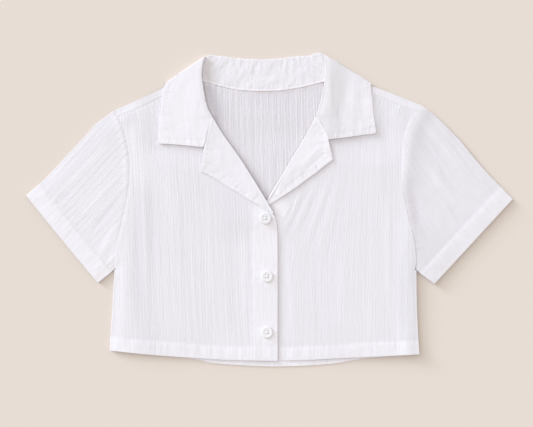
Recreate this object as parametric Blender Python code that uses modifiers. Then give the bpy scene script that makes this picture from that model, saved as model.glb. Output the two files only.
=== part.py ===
"""Cropped camp-collar shirt in crinkle cotton, laid flat on its back.

Metres, +Z up, the supporting surface is z = 0, the neck points to +Y and the
front faces +Z.  Tables are in millimetres.  "right" and "left" are the
wearer's, so the right half lies at -X.  The origin is on the surface, under
the middle of the garment.
"""

import math

import bmesh
import bpy
import numpy as np
from mathutils import Vector

# ------------------------------------------------------------------ sizes, mm
MM = 0.001
WALL = 1.0            # cloth wall
SEAM = 0.35           # clearance between pieces at a seam
LOFT = 2.3            # front above back, middle to middle
NECK_LIFT = 1.6       # the back rides up over the collar fall beneath it
NECK_LOFT = 1.6       # front above back where the neck is lifted
STRIP = 12.0          # width of the shoulder strip in front of the fold
ROLL = 0.8            # lapel fold, middle of the cloth
FACING = 1.35         # facing above the lapel, middle to middle
COLLAR_WALL = 1.0
COLLAR_REST = 0.5     # middle of the collar fall where it lies on the surface
STAND_BACK = 3.6      # middle of the collar stand over the back
STAND_FRONT = 5.2     # middle of the collar stand over the fronts
FALL_EDGE = 5.2       # middle of the collar fall at its outer edge, in front
BUTTON_D = 18.0
BUTTON_T = 2.6
BUTTON_HOLE_D = 1.9
BUTTON_HOLE_PITCH = 4.3

# divisions
N_SIDE, N_ARM, N_SHOULDER, N_NECK, N_FRONT_NECK = 4, 9, 4, 8, 4
N_EDGE, N_ROLL, N_LAPEL, N_CUFF = 6, 7, 4, 6

# ------------------------------------------------------- outline tables, mm
#            section       x       y
SIDE_R = (("hem",       -248.0, -218.0),
          ("hip",       -245.5, -178.5),
          ("waist",     -243.5, -140.0),
          ("underarm",  -240.5,  -92.0))
SIDE_L = (("hem",        233.0, -223.5),
          ("hip",        231.5, -178.5),
          ("waist",      230.0, -140.0),
          ("underarm",   229.0,  -93.5))
ARMHOLE_R = (("underarm", -240.5, -92.0),
             ("low",      -237.5, -57.0),
             ("bend",     -227.0, -15.0),
             ("chest",    -218.5,  31.5),
             ("across",   -217.5,  75.0),
             ("high",     -224.0, 115.0),
             ("tip",      -239.5, 154.0))
ARMHOLE_L = (("underarm", 229.0, -93.5),
             ("low",      224.5, -52.0),
             ("bend",     214.0,  -9.5),
             ("chest",    206.5,  31.5),
             ("across",   207.0,  75.0),
             ("high",     212.0, 120.0),
             ("tip",      232.0, 164.0))
SHOULDER_R = (("tip",    -239.5, 154.0),
              ("outer",  -207.0, 170.5),
              ("middle", -165.5, 188.5),
              ("neck",   -123.0, 207.5))
SHOULDER_L = (("tip",    232.0, 164.0),
              ("outer",  209.0, 173.0),
              ("middle", 169.5, 187.5),
              ("neck",   111.0, 209.0))
BACK_NECK = (("right",        -123.0, 207.5),
             ("right quarter", -83.0, 197.5),
             ("right eighth",  -45.0, 189.6),
             ("middle",         -6.0, 187.7),
             ("left eighth",    35.0, 191.3),
             ("left quarter",   72.0, 198.7),
             ("left",          111.0, 209.0))
FRONT_NECK_R = (("shoulder", -118.0, 196.3),
                ("side",     -114.5, 180.0),
                ("low",      -101.5, 158.0),
                ("roll",      -91.0, 145.5))
FRONT_NECK_L = (("shoulder", 106.8, 197.5),
                ("side",     102.5, 180.0),
                ("low",       88.0, 158.0),
                ("roll",      78.0, 145.5))
BACK_HEM = (("right side", -248.0, -218.0),
            ("right",      -185.0, -224.5),
            ("right mid",  -123.0, -231.0),
            ("middle",       1.0, -244.0),
            ("left mid",     95.0, -240.5),
            ("left",        194.5, -227.5),
            ("left side",   233.0, -223.5))
FRONT_HEM_R = (("side",   -248.0, -218.0),
               ("quarter", -185.0, -223.5),
               ("half",   -123.0, -228.0),
               ("three",   -61.0, -232.0),
               ("edge",     11.5, -234.0))
FRONT_HEM_L = (("edge",   -22.5, -233.5),
               ("quarter", 47.5, -233.5),
               ("half",   109.5, -231.0),
               ("three",  171.5, -227.0),
               ("side",   233.0, -223.5))
#  lapel roll lines, from the break up to the gorge
ROLL_R = (("break",    6.2,  -5.0),
          ("v",        3.2,   0.5),
          ("low",     -7.5,  18.5),
          ("chest",  -43.0,  75.5),
          ("high",   -71.5, 116.0),
          ("gorge",  -88.3, 143.5))
ROLL_L = (("break",  -12.0,   0.0),
          ("v",       -1.5,  18.5),
          ("low",     16.5,  45.0),
          ("chest",   40.0,  83.0),
          ("high",    64.0, 121.0),
          ("gorge",   75.7, 143.5))
#  front edges, from the hem up to the break
EDGE_R = (("hem",  11.5, -234.0),
          ("low",  11.5,  -60.0),
          ("turn", 11.0,  -28.5),
          ("top",   7.8,  -12.0))
EDGE_L = (("hem", -22.5, -233.5),
          ("low", -22.5,  -50.0),
          ("turn", -20.5, -25.0),
          ("top", -15.5,   -8.0))
#  lapel outer edges, from the break to the point, and from there to the gorge
LAPEL_R = (("break",    0.8,  -3.0),
           ("low",    -11.5,   4.0),
           ("middle", -33.5,  16.5),
           ("high",   -90.5,  52.0),
           ("point", -107.0,  59.0))
LAPEL_L = (("break",   -7.0,  1.5),
           ("low",     -1.0,  8.5),
           ("middle",  11.5, 16.5),
           ("high",    52.0, 42.5),
           ("point",   98.5, 78.0))
GORGE_R = (("top",     -90.0, 143.0),
           ("middle",  -95.4, 117.0),
           ("notch",  -100.8,  98.0),
           ("point",  -107.0,  59.0))
GORGE_L = (("top",      78.0, 143.0),
           ("middle",   84.2, 124.0),
           ("notch",    89.8, 109.5),
           ("point",    98.5,  78.0))
SLEEVE_TOP_R = (("tip",    -239.5, 154.0),
                ("crown",  -271.0, 132.0),
                ("middle", -309.5,  89.5),
                ("low",    -348.0,  47.5),
                ("cuff",   -376.5,  21.5))
SLEEVE_TOP_L = (("tip",    232.0, 164.0),
                ("crown",  255.0, 147.5),
                ("middle", 293.5, 109.0),
                ("low",    332.5,  62.5),
                ("cuff",   376.5,  16.5))
CUFF_R = (("top",   -376.5,   21.5),
          ("middle", -325.0, -47.0),
          ("under",  -266.0, -113.0))
CUFF_L = (("top",    376.5,   16.5),
          ("middle", 319.5, -47.0),
          ("under",  255.5, -114.5))
UNDERARM_R = (("body", -240.5, -92.0),
              ("cuff", -266.0, -113.0))
UNDERARM_L = (("body", 229.0, -93.5),
              ("cuff", 255.5, -114.5))

#  collar sections: neck edge N, roll R and outer edge O in plan; turn is -90
#  behind the neck (the fall lies under the back) and +90 in front (it lies on
#  the fronts); top is the height of the fall next to the roll, in front
#   section          Nx      Ny      Rx      Ry      Ox      Oy   turn  top
COLLAR = (
    ("right front", -106.0,  97.8, -102.2,  97.3, -172.0, 102.0,  90, 6.7),
    ("right gorge", -101.2, 119.4,  -97.2, 119.5, -170.3, 117.5,  90, 6.7),
    ("right crest",  -96.6, 141.0,  -92.6, 141.5, -168.5, 133.0,  90, 6.9),
    ("right low",   -104.0, 156.2,  -98.0, 162.0, -165.9, 151.5,  90, 7.2),
    ("right side",  -118.0, 181.0, -103.1, 193.4, -162.0, 174.8,  90, 7.4),
    ("right seam",  -122.5, 194.0, -104.6, 210.4, -160.4, 187.2,  90, 7.4),
    ("right bend",  -121.5, 201.5, -102.3, 227.5, -159.2, 193.0,  60, 7.4),
    ("right corner", -119.0, 205.6, -94.3, 239.1, -157.5, 195.1,   0, 7.4),
    ("right turn",  -116.0, 203.9,  -89.1, 239.4, -152.2, 193.4, -60, 7.4),
    ("right back",   -95.0, 197.3,  -76.7, 238.0, -126.3, 184.8, -90, 7.4),
    ("right rear",   -50.0, 187.1,  -42.6, 233.7,  -64.3, 180.2, -90, 7.4),
    ("middle",         0.0, 184.8,    0.8, 232.8,    0.8, 178.6, -90, 7.4),
    ("left rear",     42.0, 189.3,   38.0, 236.8,   66.0, 180.5, -90, 7.4),
    ("left back",     82.0, 198.5,   62.0, 241.0,  120.0, 186.0, -90, 7.4),
    ("left turn",    104.0, 205.0,   75.0, 243.0,  148.7, 194.4, -60, 7.4),
    ("left corner",  107.0, 207.1,   79.5, 242.5,  155.2, 194.9,   0, 7.4),
    ("left bend",    109.5, 202.5,   86.0, 229.0,  156.3, 192.4,  60, 7.4),
    ("left seam",    110.5, 195.0,   87.5, 212.0,  157.0, 186.0,  90, 7.4),
    ("left side",    106.0, 181.5,   86.5, 193.0,  158.3, 176.0,  90, 7.4),
    ("left low",      90.5, 156.5,   82.3, 163.0,  160.0, 158.0,  90, 7.2),
    ("left crest",    84.6, 140.8,   80.6, 141.5,  161.5, 144.0,  90, 6.9),
    ("left gorge",    89.3, 125.6,   85.3, 125.5,  163.0, 131.0,  90, 6.7),
    ("left front",    95.0, 110.7,   91.2, 110.2,  165.0, 119.5,  90, 6.7),
)

#  button      x       y
BUTTONS = ((1, -6.5,  -13.0),
           (2, -3.8, -103.0),
           (3, -4.0, -189.5))

# ------------------------------------------------------------------ colours
CLOTH_WHITE = (0.84, 0.83, 0.87)
COLLAR_WHITE = (0.88, 0.87, 0.91)
BUTTON_WHITE = (0.90, 0.89, 0.90)


# ------------------------------------------------------------- plan geometry
def smooth_curve(table, per=10):
    """Smooth curve (Catmull-Rom) through the table's x and y columns."""
    p = np.array([row[-2:] for row in table], float)
    if len(p) < 3:
        return p
    e = np.vstack([2 * p[0] - p[1], p, 2 * p[-1] - p[-2]])
    t = np.linspace(0, 1, per, endpoint=False)[:, None]
    out = []
    for i in range(1, len(e) - 2):
        a, b, c, d = e[i - 1:i + 3]
        out.append(0.5 * (2 * b + (c - a) * t + (2 * a - 5 * b + 4 * c - d) * t ** 2
                          + (3 * b - a - 3 * c + d) * t ** 3))
    return np.vstack(out + [p[-1:]])


def divide(points, n):
    """The polyline as n steps of equal length."""
    step = np.linalg.norm(np.diff(points, axis=0), axis=1)
    s = np.concatenate([[0.0], np.cumsum(step)])
    t = np.linspace(0, s[-1], n + 1)
    return np.column_stack([np.interp(t, s, points[:, k]) for k in range(points.shape[1])])


def along(table, n):
    return divide(smooth_curve(table), n)


def join(*pieces):
    """Polylines end to end, each shared end once."""
    return np.vstack([pieces[0]] + [p[1:] for p in pieces[1:]])


def short_of_end(points, distance):
    """The point that far from the polyline's end, on its last step."""
    last = points[-1] - points[-2]
    return points[-1] - last / np.linalg.norm(last) * distance


def normals(points, side):
    """Unit normals in plan; side +1 is to the left of the way along."""
    t = np.gradient(points, axis=0)
    t /= np.linalg.norm(t, axis=1)[:, None]
    return side * np.column_stack([-t[:, 1], t[:, 0]])


def patch(bottom, top, left, right):
    """Plan grid between four edge curves; rows run from bottom to top."""
    u = np.linspace(0, 1, len(bottom))[None, :, None]
    v = np.linspace(0, 1, len(left))[:, None, None]
    ruled_v = (1 - v) * bottom[None] + v * top[None]
    ruled_u = (1 - u) * left[:, None] + u * right[:, None]
    corners = ((1 - u) * (1 - v) * bottom[0] + u * (1 - v) * bottom[-1]
               + (1 - u) * v * top[0] + u * v * top[-1])
    return ruled_v + ruled_u - corners


def ease(t):
    t = np.clip(t, 0.0, 1.0)
    return t * t * (3 - 2 * t)


# ------------------------------------------------------------------- heights
def neck_mask(x, y):
    """1 round the neck and inner shoulders, 0 away from them."""
    return ease((y - 105) / 45) * (1 - ease((np.abs(x + 5) - 175) / 48))


def back_z(x, y):
    return WALL / 2 + NECK_LIFT * neck_mask(x, y)


def front_base_z(x, y):
    return WALL / 2 + LOFT + (NECK_LIFT + NECK_LOFT - LOFT) * neck_mask(x, y)


def front_left_z(x, y):
    """The under front sinks towards its own edge."""
    return front_base_z(x, y) - 0.9 * ease((44 - x) / 34) * (1 - ease((y - 22) / 45))


def front_right_z(x, y):
    """The upper front rises over the under one, most where it passes the
    other lapel at the bottom of the V."""
    fade = 1 - ease((y - 34) / 60)
    vee = ease((y + 62) / 56) * fade
    return front_base_z(x, y) + ease((x + 62) / 34) * (0.75 * fade + 2.75 * vee)


# -------------------------------------------------------------- mesh building
def lift(plan, height):
    """Plan points with the heights given by a function of x and y."""
    return np.dstack([plan, height(plan[..., 0], plan[..., 1])])


def arc_rows(centre, outward, z_mid, radius, angles):
    """Rows of a fold round a line: angle 0 is outermost, 90 on top."""
    out = []
    for a in angles:
        a = math.radians(a)
        out.append(np.column_stack([centre + outward * (radius * math.cos(a))[:, None]
                                    if np.ndim(radius) else
                                    centre + outward * radius * math.cos(a),
                                    z_mid + radius * math.sin(a)]))
    return np.array(out)


def new_material(name, colour, roughness):
    m = bpy.data.materials.new(name)
    m.use_nodes = True
    p = m.node_tree.nodes["Principled BSDF"]
    p.inputs["Base Color"].default_value = (*colour, 1.0)
    p.inputs["Roughness"].default_value = roughness
    p.inputs["Metallic"].default_value = 0.0
    m.diffuse_color = (*colour, 1.0)
    return m


def cloth(name, grids, colour, wall=WALL, collection=None, closed=False, even=True):
    """One sheet from grids that share edges, made a wall by Solidify."""
    bm = bmesh.new()
    for g in grids:
        g = np.asarray(g) * MM
        nr, nc = g.shape[:2]
        v = [[bm.verts.new(Vector(g[i, j])) for j in range(nc)] for i in range(nr)]
        for i in range(nr - 1):
            for j in range(nc if closed else nc - 1):
                k = (j + 1) % nc
                bm.faces.new((v[i][j], v[i][k], v[i + 1][k], v[i + 1][j]))
    bmesh.ops.remove_doubles(bm, verts=bm.verts, dist=2e-5)
    bmesh.ops.recalc_face_normals(bm, faces=bm.faces)
    mesh = bpy.data.meshes.new(name)
    bm.to_mesh(mesh)
    bm.free()
    obj = bpy.data.objects.new(name, mesh)
    mesh.materials.append(new_material(name + "_cloth", colour, 0.85))
    collection.objects.link(obj)
    mesh.shade_smooth()
    wall_mod = obj.modifiers.new("wall", "SOLIDIFY")
    wall_mod.thickness = wall * MM
    wall_mod.offset = 0.0
    wall_mod.use_even_offset = even
    return obj


# --------------------------------------------------------------------- pieces
def build_back(collection):
    side_r, side_l = along(SIDE_R, N_SIDE), along(SIDE_L, N_SIDE)
    arm_r, arm_l = along(ARMHOLE_R, N_ARM), along(ARMHOLE_L, N_ARM)
    fold_r, fold_l = along(SHOULDER_R, N_SHOULDER), along(SHOULDER_L, N_SHOULDER)
    out_r, out_l = normals(fold_r, 1), normals(fold_l, -1)

    def half(fold):
        x, y = fold[:, 0], fold[:, 1]
        return (front_base_z(x, y) - back_z(x, y)) / 2

    rad_r, rad_l = half(fold_r), half(fold_l)
    in_r = fold_r - out_r * rad_r[:, None]
    in_l = fold_l - out_l * rad_l[:, None]
    # the side edges stop one fold radius inside the outline and curl up to it
    r = LOFT / 2
    curl_r = side_r - normals(side_r, 1) * r
    curl_l = side_l - normals(side_l, -1) * r
    neck = along(BACK_NECK, N_NECK)
    top = join(in_r, np.vstack([in_r[-1:], neck[1:-1], in_l[-1:]]), in_l[::-1])
    left = join(curl_r, np.vstack([curl_r[-1:], arm_r[1:-1], in_r[:1]]))
    right = join(curl_l, np.vstack([curl_l[-1:], arm_l[1:-1], in_l[:1]]))
    hem = along(BACK_HEM, len(top) - 1)
    hem[0], hem[-1] = left[0], right[0]
    main = lift(patch(hem, top, left, right), back_z)
    grids = [main]
    for curl, line, side in ((curl_r, side_r, 1), (curl_l, side_l, -1)):
        z = back_z(curl[:, 0], curl[:, 1]) + r
        arc = arc_rows(curl, normals(line, side), z, r, (-90, -60, -35, -18))
        grids.append(arc if side > 0 else arc[::-1])
    for inner, out, rad, fold, arm in ((in_r, out_r, rad_r, fold_r, arm_r),
                                       (in_l, out_l, rad_l, fold_l, arm_l)):
        mid = back_z(inner[:, 0], inner[:, 1]) + rad
        arc = arc_rows(inner, out, mid, rad, (-90, -45, 0, 45, 90))
        # the first row is the main grid's own edge
        arc[0, :, 2] = back_z(inner[:, 0], inner[:, 1])
        edge = fold - out * STRIP
        edge[0] = short_of_end(arm, STRIP)
        strip = lift(edge[None], front_base_z)
        grids.append(np.concatenate([arc, strip]))
    return cloth("back", grids, CLOTH_WHITE, collection=collection)


def front_outline(side, arm, fold, neck_table, out_side):
    """Side, armhole and top edges that fit the back's strips and the sleeve."""
    s, a = along(side, N_SIDE), along(arm, N_ARM)
    f = along(fold, N_SHOULDER)
    out = normals(f, out_side)
    seam = f - out * (STRIP + SEAM)
    # the armhole stops where the shoulder seam meets it
    a[-1] = short_of_end(a, STRIP + SEAM)
    seam[0] = a[-1]
    neck = along(neck_table, N_FRONT_NECK)
    neck[0] = seam[-1]
    return s, a, seam, neck


def build_front(name, tables, height, out_side, collection):
    """A front with its side curl and its turned-back lapel, and its facing."""
    side, arm, fold, neck_t, hem_t, edge_t, roll_t, lapel_t, gorge_t = tables
    s, a, seam, neck = front_outline(side, arm, fold, neck_t, out_side)
    r = LOFT / 2
    curl = s - normals(s, out_side) * r
    outer = join(curl, np.vstack([curl[-1:], a[1:]]))
    radius = ROLL + FACING
    roll = along(roll_t, N_ROLL)
    roll_out = normals(roll, -out_side)
    inner = roll - roll_out * radius
    neck[-1] = inner[-1]
    hem = along(hem_t, len(seam) + len(neck) - 2)
    hem[0 if out_side > 0 else -1] = curl[0]
    if out_side < 0:
        hem = hem[::-1]          # from the side to the edge on both fronts
    edge = along(edge_t + (("break", *inner[0]),), N_EDGE)
    hem[-1] = edge[0]
    inner_edge = join(edge, inner)
    main = lift(patch(hem, join(seam, neck), outer, inner_edge), height)
    grids = [main]
    z = height(curl[:, 0], curl[:, 1]) - r
    arc = arc_rows(curl, normals(s, out_side), z, r, (18, 35, 60, 90))
    arc[-1, :, 2] = height(curl[:, 0], curl[:, 1])
    grids.append(arc)
    # lapel: fold round the roll line, then back over the front
    base = height(inner[:, 0], inner[:, 1])
    fold_arc = arc_rows(inner, roll_out, base + ROLL, ROLL, (-90, -45, 0, 45, 90))
    fold_arc[0, :, 2] = base
    grids.append(fold_arc)
    free = along(lapel_t, N_ROLL)
    gorge = along(gorge_t, N_LAPEL)
    gorge[0], gorge[-1] = inner[-1], free[-1]
    low = along(((0, *inner[0]), (0, *free[0])), N_LAPEL)
    lapel_plan = patch(low, gorge, inner, free)
    grids.append(lift(lapel_plan, lambda x, y: height(x, y) + 2 * ROLL))
    front = cloth(name, grids, CLOTH_WHITE, collection=collection)

    face = lift(lapel_plan, lambda x, y: height(x, y) + 2 * ROLL + FACING)
    face_arc = arc_rows(inner, roll_out, base + ROLL, radius, (-20, 8, 35, 62, 90))
    face_arc[-1] = face[:, 0]
    facing = cloth(name.replace("front", "facing"), [face_arc, face], COLLAR_WHITE,
                   collection=collection)
    return front, facing


def build_sleeve(name, arm_t, top_t, cuff_t, under_t, out_side, collection):
    """A flattened tube: an upper and a lower layer joined by round folds."""
    arm = along(arm_t, N_ARM)
    arm = (arm + normals(arm, out_side) * SEAM)[::-1]      # from the tip down
    arm[-1] = short_of_end(arm, 1.4)
    cuff = along(cuff_t, N_ARM)
    top, under = along(top_t, N_CUFF), along(under_t, N_CUFF)
    top[0], under[0] = arm[0], arm[-1]
    cuff[0], cuff[-1] = top[-1], under[-1]

    def at(line, u):
        k = np.linspace(0, 1, len(line))
        return np.array([np.interp(u, k, line[:, 0]), np.interp(u, k, line[:, 1])])

    def point(u, v):
        ruled = ((1 - v) * at(arm, u) + v * at(cuff, u)
                 + (1 - u) * at(top, v) + u * at(under, v))
        corner = ((1 - u) * (1 - v) * arm[0] + u * (1 - v) * arm[-1]
                  + (1 - u) * v * cuff[0] + u * v * cuff[-1])
        return ruled - corner

    rings = []
    for v in np.linspace(0, 1, N_CUFF + 1):
        width = np.linalg.norm(point(1.0, v) - point(0.0, v))
        flat = [i / N_ARM for i in range(1, N_ARM)]
        ring = []

        def add(u, level, v=v):
            p = point(u, v)
            zb, zf = back_z(*p), front_base_z(*p)
            mid, rad = (zb + zf) / 2, (zf - zb) / 2
            ring.append((*p, mid + rad * level))

        def end_u(angle, rad=LOFT / 2, width=width):
            return rad * (1 - math.cos(math.radians(angle))) / width

        for angle in (0, 45, 90):
            add(end_u(angle), math.sin(math.radians(angle)))
        for u in flat:
            add(u, 1.0)
        for angle in (90, 45, 0, -45, -90):
            add(1 - end_u(angle), math.sin(math.radians(angle)))
        for u in flat[::-1]:
            add(u, -1.0)
        for angle in (-90, -45):
            add(end_u(angle), math.sin(math.radians(angle)))
        rings.append(ring)
    return cloth(name, [np.array(rings)], CLOTH_WHITE, collection=collection,
                 closed=True, even=False)


def build_collar(collection):
    """Stand, roll and fall in one sheet, section by section round the neck."""
    data = np.array([row[1:] for row in COLLAR], float)
    # extra sections between the rows of the table
    e = np.vstack([2 * data[0] - data[1], data, 2 * data[-1] - data[-2]])
    sections = []
    for i in range(1, len(e) - 2):
        a, b, c, d = e[i - 1:i + 3]
        sharp = abs(b[6] - c[6]) > 40 or abs(b[0] - c[0]) > 38
        for t in ((0.0, 0.5) if sharp else (0.0,)):
            row = 0.5 * (2 * b + (c - a) * t + (2 * a - 5 * b + 4 * c - d) * t ** 2
                         + (3 * b - a - 3 * c + d) * t ** 3)
            row[6:] = b[6:] * (1 - t) + c[6:] * t
            sections.append(row)
    sections.append(data[-1])
    grid = []
    for nx, ny, rx, ry, ox, oy, turn, top in sections:
        n, rl, o = np.array((nx, ny)), np.array((rx, ry)), np.array((ox, oy))
        s = math.sin(math.radians(turn))
        c = math.cos(math.radians(turn))
        out = np.array((math.copysign(0.57, rx), 0.82))
        r_back, r_front = (STAND_BACK - COLLAR_REST) / 2, (top - STAND_FRONT) / 2
        r = r_back * (1 - s) / 2 + r_front * (1 + s) / 2
        d1, d2 = (rl - n) / np.linalg.norm(rl - n), (rl - o) / np.linalg.norm(rl - o)
        c1, c2 = rl - d1 * r, rl - d2 * r
        row = []

        def add(plan, z_back, z_front):
            mid, half = (z_front + z_back) / 2, (z_front - z_back) / 2
            plan = plan + out * half * c
            row.append((*plan, mid + half * s))

        for w in (0.0, 0.5, 1.0):
            add(n + (c1 - n) * w, STAND_BACK, STAND_FRONT)
        for a in (45, 90, 135):
            t, ca, sa = a / 180, math.cos(math.radians(a)), math.sin(math.radians(a))
            direction = d1 * (1 - t) + d2 * t
            direction /= np.linalg.norm(direction)
            add(c1 * (1 - t) + c2 * t + direction * r * sa,
                COLLAR_REST + r_back + r_back * ca, STAND_FRONT + r_front - r_front * ca)
        for w in (0.0, 0.2, 0.45, 0.72, 1.0):
            add(c2 + (o - c2) * w, COLLAR_REST,
                FALL_EDGE + (top - FALL_EDGE) * (1 - w) ** 1.5)
        grid.append(row)
    return cloth("collar", [np.array(grid)], COLLAR_WHITE, wall=COLLAR_WALL,
                 collection=collection, even=False)


def build_button(number, x, y, collection, cutters):
    """A turned disc with a sunk middle and four holes, tilted with the cloth."""
    r = BUTTON_D / 2
    #         radius  height
    profile = ((0.0, 1.7), (4.9, 1.7), (6.3, BUTTON_T), (7.7, BUTTON_T),
               (r, 1.9), (r, 0.7), (r - 1.2, 0.0), (0.0, 0.0))
    mesh = bpy.data.meshes.new(f"button_{number}")
    mesh.from_pydata([(a * MM, 0, b * MM) for a, b in profile],
                     [(i, i + 1) for i in range(len(profile) - 1)], [])
    obj = bpy.data.objects.new(f"button_{number}", mesh)
    collection.objects.link(obj)
    turn = obj.modifiers.new("turn", "SCREW")
    turn.axis = "Z"
    turn.steps = turn.render_steps = 24
    turn.use_merge_vertices = True
    turn.merge_threshold = 1e-5
    mesh.materials.append(new_material(f"button_{number}_plastic", BUTTON_WHITE, 0.35))

    # the cloth's height and slope under the button
    ang = np.linspace(0, 2 * math.pi, 13)[:-1]
    slope_x = float(front_right_z(x + 6, y) - front_right_z(x - 6, y)) / 12
    slope_y = float(front_right_z(x, y + 6) - front_right_z(x, y - 6)) / 12
    plane = lambda px, py: slope_x * (px - x) + slope_y * (py - y)
    rim = [front_right_z(x + k * r * math.cos(t), y + k * r * math.sin(t))
           - plane(x + k * r * math.cos(t), y + k * r * math.sin(t))
           for t in ang for k in (0.0, 0.5, 1.0)]
    rest = float(max(rim)) + WALL / 2 + 0.35
    normal = Vector((-slope_x, -slope_y, 1.0)).normalized()
    obj.location = Vector((x, y, rest)) * MM
    obj.rotation_mode = "QUATERNION"
    obj.rotation_quaternion = Vector((0, 0, 1)).rotation_difference(normal)

    for i in range(4):
        a = math.radians(45 + 90 * i)
        bm = bmesh.new()
        bmesh.ops.create_cone(bm, cap_ends=True, segments=10, depth=8 * MM,
                              radius1=BUTTON_HOLE_D / 2 * MM, radius2=BUTTON_HOLE_D / 2 * MM)
        off = BUTTON_HOLE_PITCH / math.sqrt(2)
        bmesh.ops.translate(bm, verts=bm.verts,
                            vec=Vector((off * math.cos(a), off * math.sin(a), 1.0)) * MM)
        cut_mesh = bpy.data.meshes.new(f"hole_{number}_{i}")
        bm.to_mesh(cut_mesh)
        bm.free()
        cutter = bpy.data.objects.new(f"hole_{number}_{i}", cut_mesh)
        cutters.objects.link(cutter)
        cutter.hide_render = True
        cutter.display_type = "WIRE"
        cutter.location = obj.location
        cutter.rotation_mode = "QUATERNION"
        cutter.rotation_quaternion = obj.rotation_quaternion
        cut = obj.modifiers.new(f"hole_{i}", "BOOLEAN")
        cut.operation = "DIFFERENCE"
        cut.object = cutter
        cut.solver = "EXACT"
    return obj


def main():
    for obj in list(bpy.data.objects):
        bpy.data.objects.remove(obj, do_unlink=True)
    shirt = bpy.data.collections.new("crop_top")
    cutters = bpy.data.collections.new("cutters")
    bpy.context.scene.collection.children.link(shirt)
    bpy.context.scene.collection.children.link(cutters)

    build_back(shirt)
    build_front("front_left", (SIDE_L, ARMHOLE_L, SHOULDER_L, FRONT_NECK_L, FRONT_HEM_L,
                               EDGE_L, ROLL_L, LAPEL_L, GORGE_L),
                front_left_z, -1, shirt)
    build_front("front_right", (SIDE_R, ARMHOLE_R, SHOULDER_R, FRONT_NECK_R, FRONT_HEM_R,
                                EDGE_R, ROLL_R, LAPEL_R, GORGE_R),
                front_right_z, 1, shirt)
    build_sleeve("sleeve_right", ARMHOLE_R, SLEEVE_TOP_R, CUFF_R, UNDERARM_R, 1, shirt)
    build_sleeve("sleeve_left", ARMHOLE_L, SLEEVE_TOP_L, CUFF_L, UNDERARM_L, -1, shirt)
    build_collar(shirt)
    for number, x, y in BUTTONS:
        build_button(number, x, y, shirt, cutters)


main()
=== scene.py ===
"""Looks of the crinkle-cotton camp shirt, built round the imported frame.

Plan sizes are in millimetres and in the frame's own axes; meshes are written
in metres.  "right" and "left" are the wearer's, so the right half is at -X.
Every cloth piece is a thin shell on its solid's form: a fine grid between the
same outlines, with the crinkle, seams, hems, puckers and creases as relief.
"""

import math

import bmesh
import bpy
import numpy as np
from mathutils import Matrix, Vector


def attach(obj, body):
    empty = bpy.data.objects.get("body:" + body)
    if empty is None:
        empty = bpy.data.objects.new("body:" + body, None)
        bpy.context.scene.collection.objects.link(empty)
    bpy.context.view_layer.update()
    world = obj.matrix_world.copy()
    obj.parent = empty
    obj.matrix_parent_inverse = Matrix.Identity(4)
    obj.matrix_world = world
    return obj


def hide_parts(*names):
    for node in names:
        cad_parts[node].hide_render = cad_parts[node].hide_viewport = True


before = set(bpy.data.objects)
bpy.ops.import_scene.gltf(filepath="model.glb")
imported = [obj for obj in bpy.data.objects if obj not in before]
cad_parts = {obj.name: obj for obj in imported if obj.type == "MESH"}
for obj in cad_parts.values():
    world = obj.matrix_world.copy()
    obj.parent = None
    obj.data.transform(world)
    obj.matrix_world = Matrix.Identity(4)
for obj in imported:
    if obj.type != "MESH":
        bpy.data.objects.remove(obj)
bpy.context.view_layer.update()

MM = 0.001
FINE = 1.0

# ------------------------------------------------------------------ sizes, mm
CLOTH = 0.52            # gauze
DOUBLE = 0.95           # turned hems, the front strip, the collar
SEAM = 0.16             # what shows of a seam's gap
REST = 0.62             # middle of the back over the surface
LOFT = 2.3              # front above back, middle to middle, at the front edges
NECK_LIFT = 1.6
NECK_LOFT = 1.6
STRIP = 12.0
ROLL = 0.8
FACING = 1.35
COLLAR_REST = 0.62
STAND_BACK = 3.6
STAND_FRONT = 5.2
FALL_EDGE = 5.2
HEM = 21.5              # depth of the body hem
CUFF = 27.5             # depth of the sleeve hem
BUTTON_D = 18.0
BUTTON_T = 2.6
BUTTON_HOLE_D = 1.9
BUTTON_HOLE_PITCH = 4.3

# ---------- outlines, mm: the CAD source's, trimmed to the photo by up to 5 mm
SIDE_R = (("hem", -247.0, -218.0), ("hip", -244.6, -178.5),
          ("waist", -242.4, -140.0), ("underarm", -240.0, -92.0))
SIDE_L = (("hem", 231.5, -223.5), ("hip", 229.2, -178.5),
          ("waist", 227.8, -140.0), ("underarm", 227.4, -93.5))
ARMHOLE_R = (("underarm", -240.0, -92.0), ("low", -237.5, -57.0), ("bend", -227.0, -15.0),
             ("chest", -218.5, 31.5), ("across", -217.5, 75.0), ("high", -224.0, 115.0),
             ("tip", -239.5, 154.0))
ARMHOLE_L = (("underarm", 227.4, -93.5), ("low", 224.5, -52.0), ("bend", 214.0, -9.5),
             ("chest", 206.5, 31.5), ("across", 207.0, 75.0), ("high", 212.0, 120.0),
             ("tip", 232.0, 163.2))
SHOULDER_R = (("tip", -239.5, 154.0), ("outer", -206.5, 168.4), ("quarter", -186.0, 177.7),
              ("middle", -165.5, 187.9), ("neck", -123.0, 207.5))
SHOULDER_L = (("tip", 232.0, 163.2), ("outer", 209.0, 172.2),
              ("middle", 169.5, 187.5), ("neck", 111.0, 209.0))
BACK_NECK = (("right", -123.0, 207.5), ("right quarter", -83.0, 197.5),
             ("right eighth", -45.0, 189.6), ("middle", -6.0, 187.7),
             ("left eighth", 35.0, 191.3), ("left quarter", 72.0, 198.7),
             ("left", 111.0, 209.0))
FRONT_NECK_R = (("shoulder", -118.0, 196.3), ("side", -114.5, 180.0),
                ("low", -101.5, 158.0), ("roll", -91.0, 145.5))
FRONT_NECK_L = (("shoulder", 106.8, 197.5), ("side", 102.5, 180.0),
                ("low", 86.0, 158.0), ("roll", 73.4, 145.5))
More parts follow.
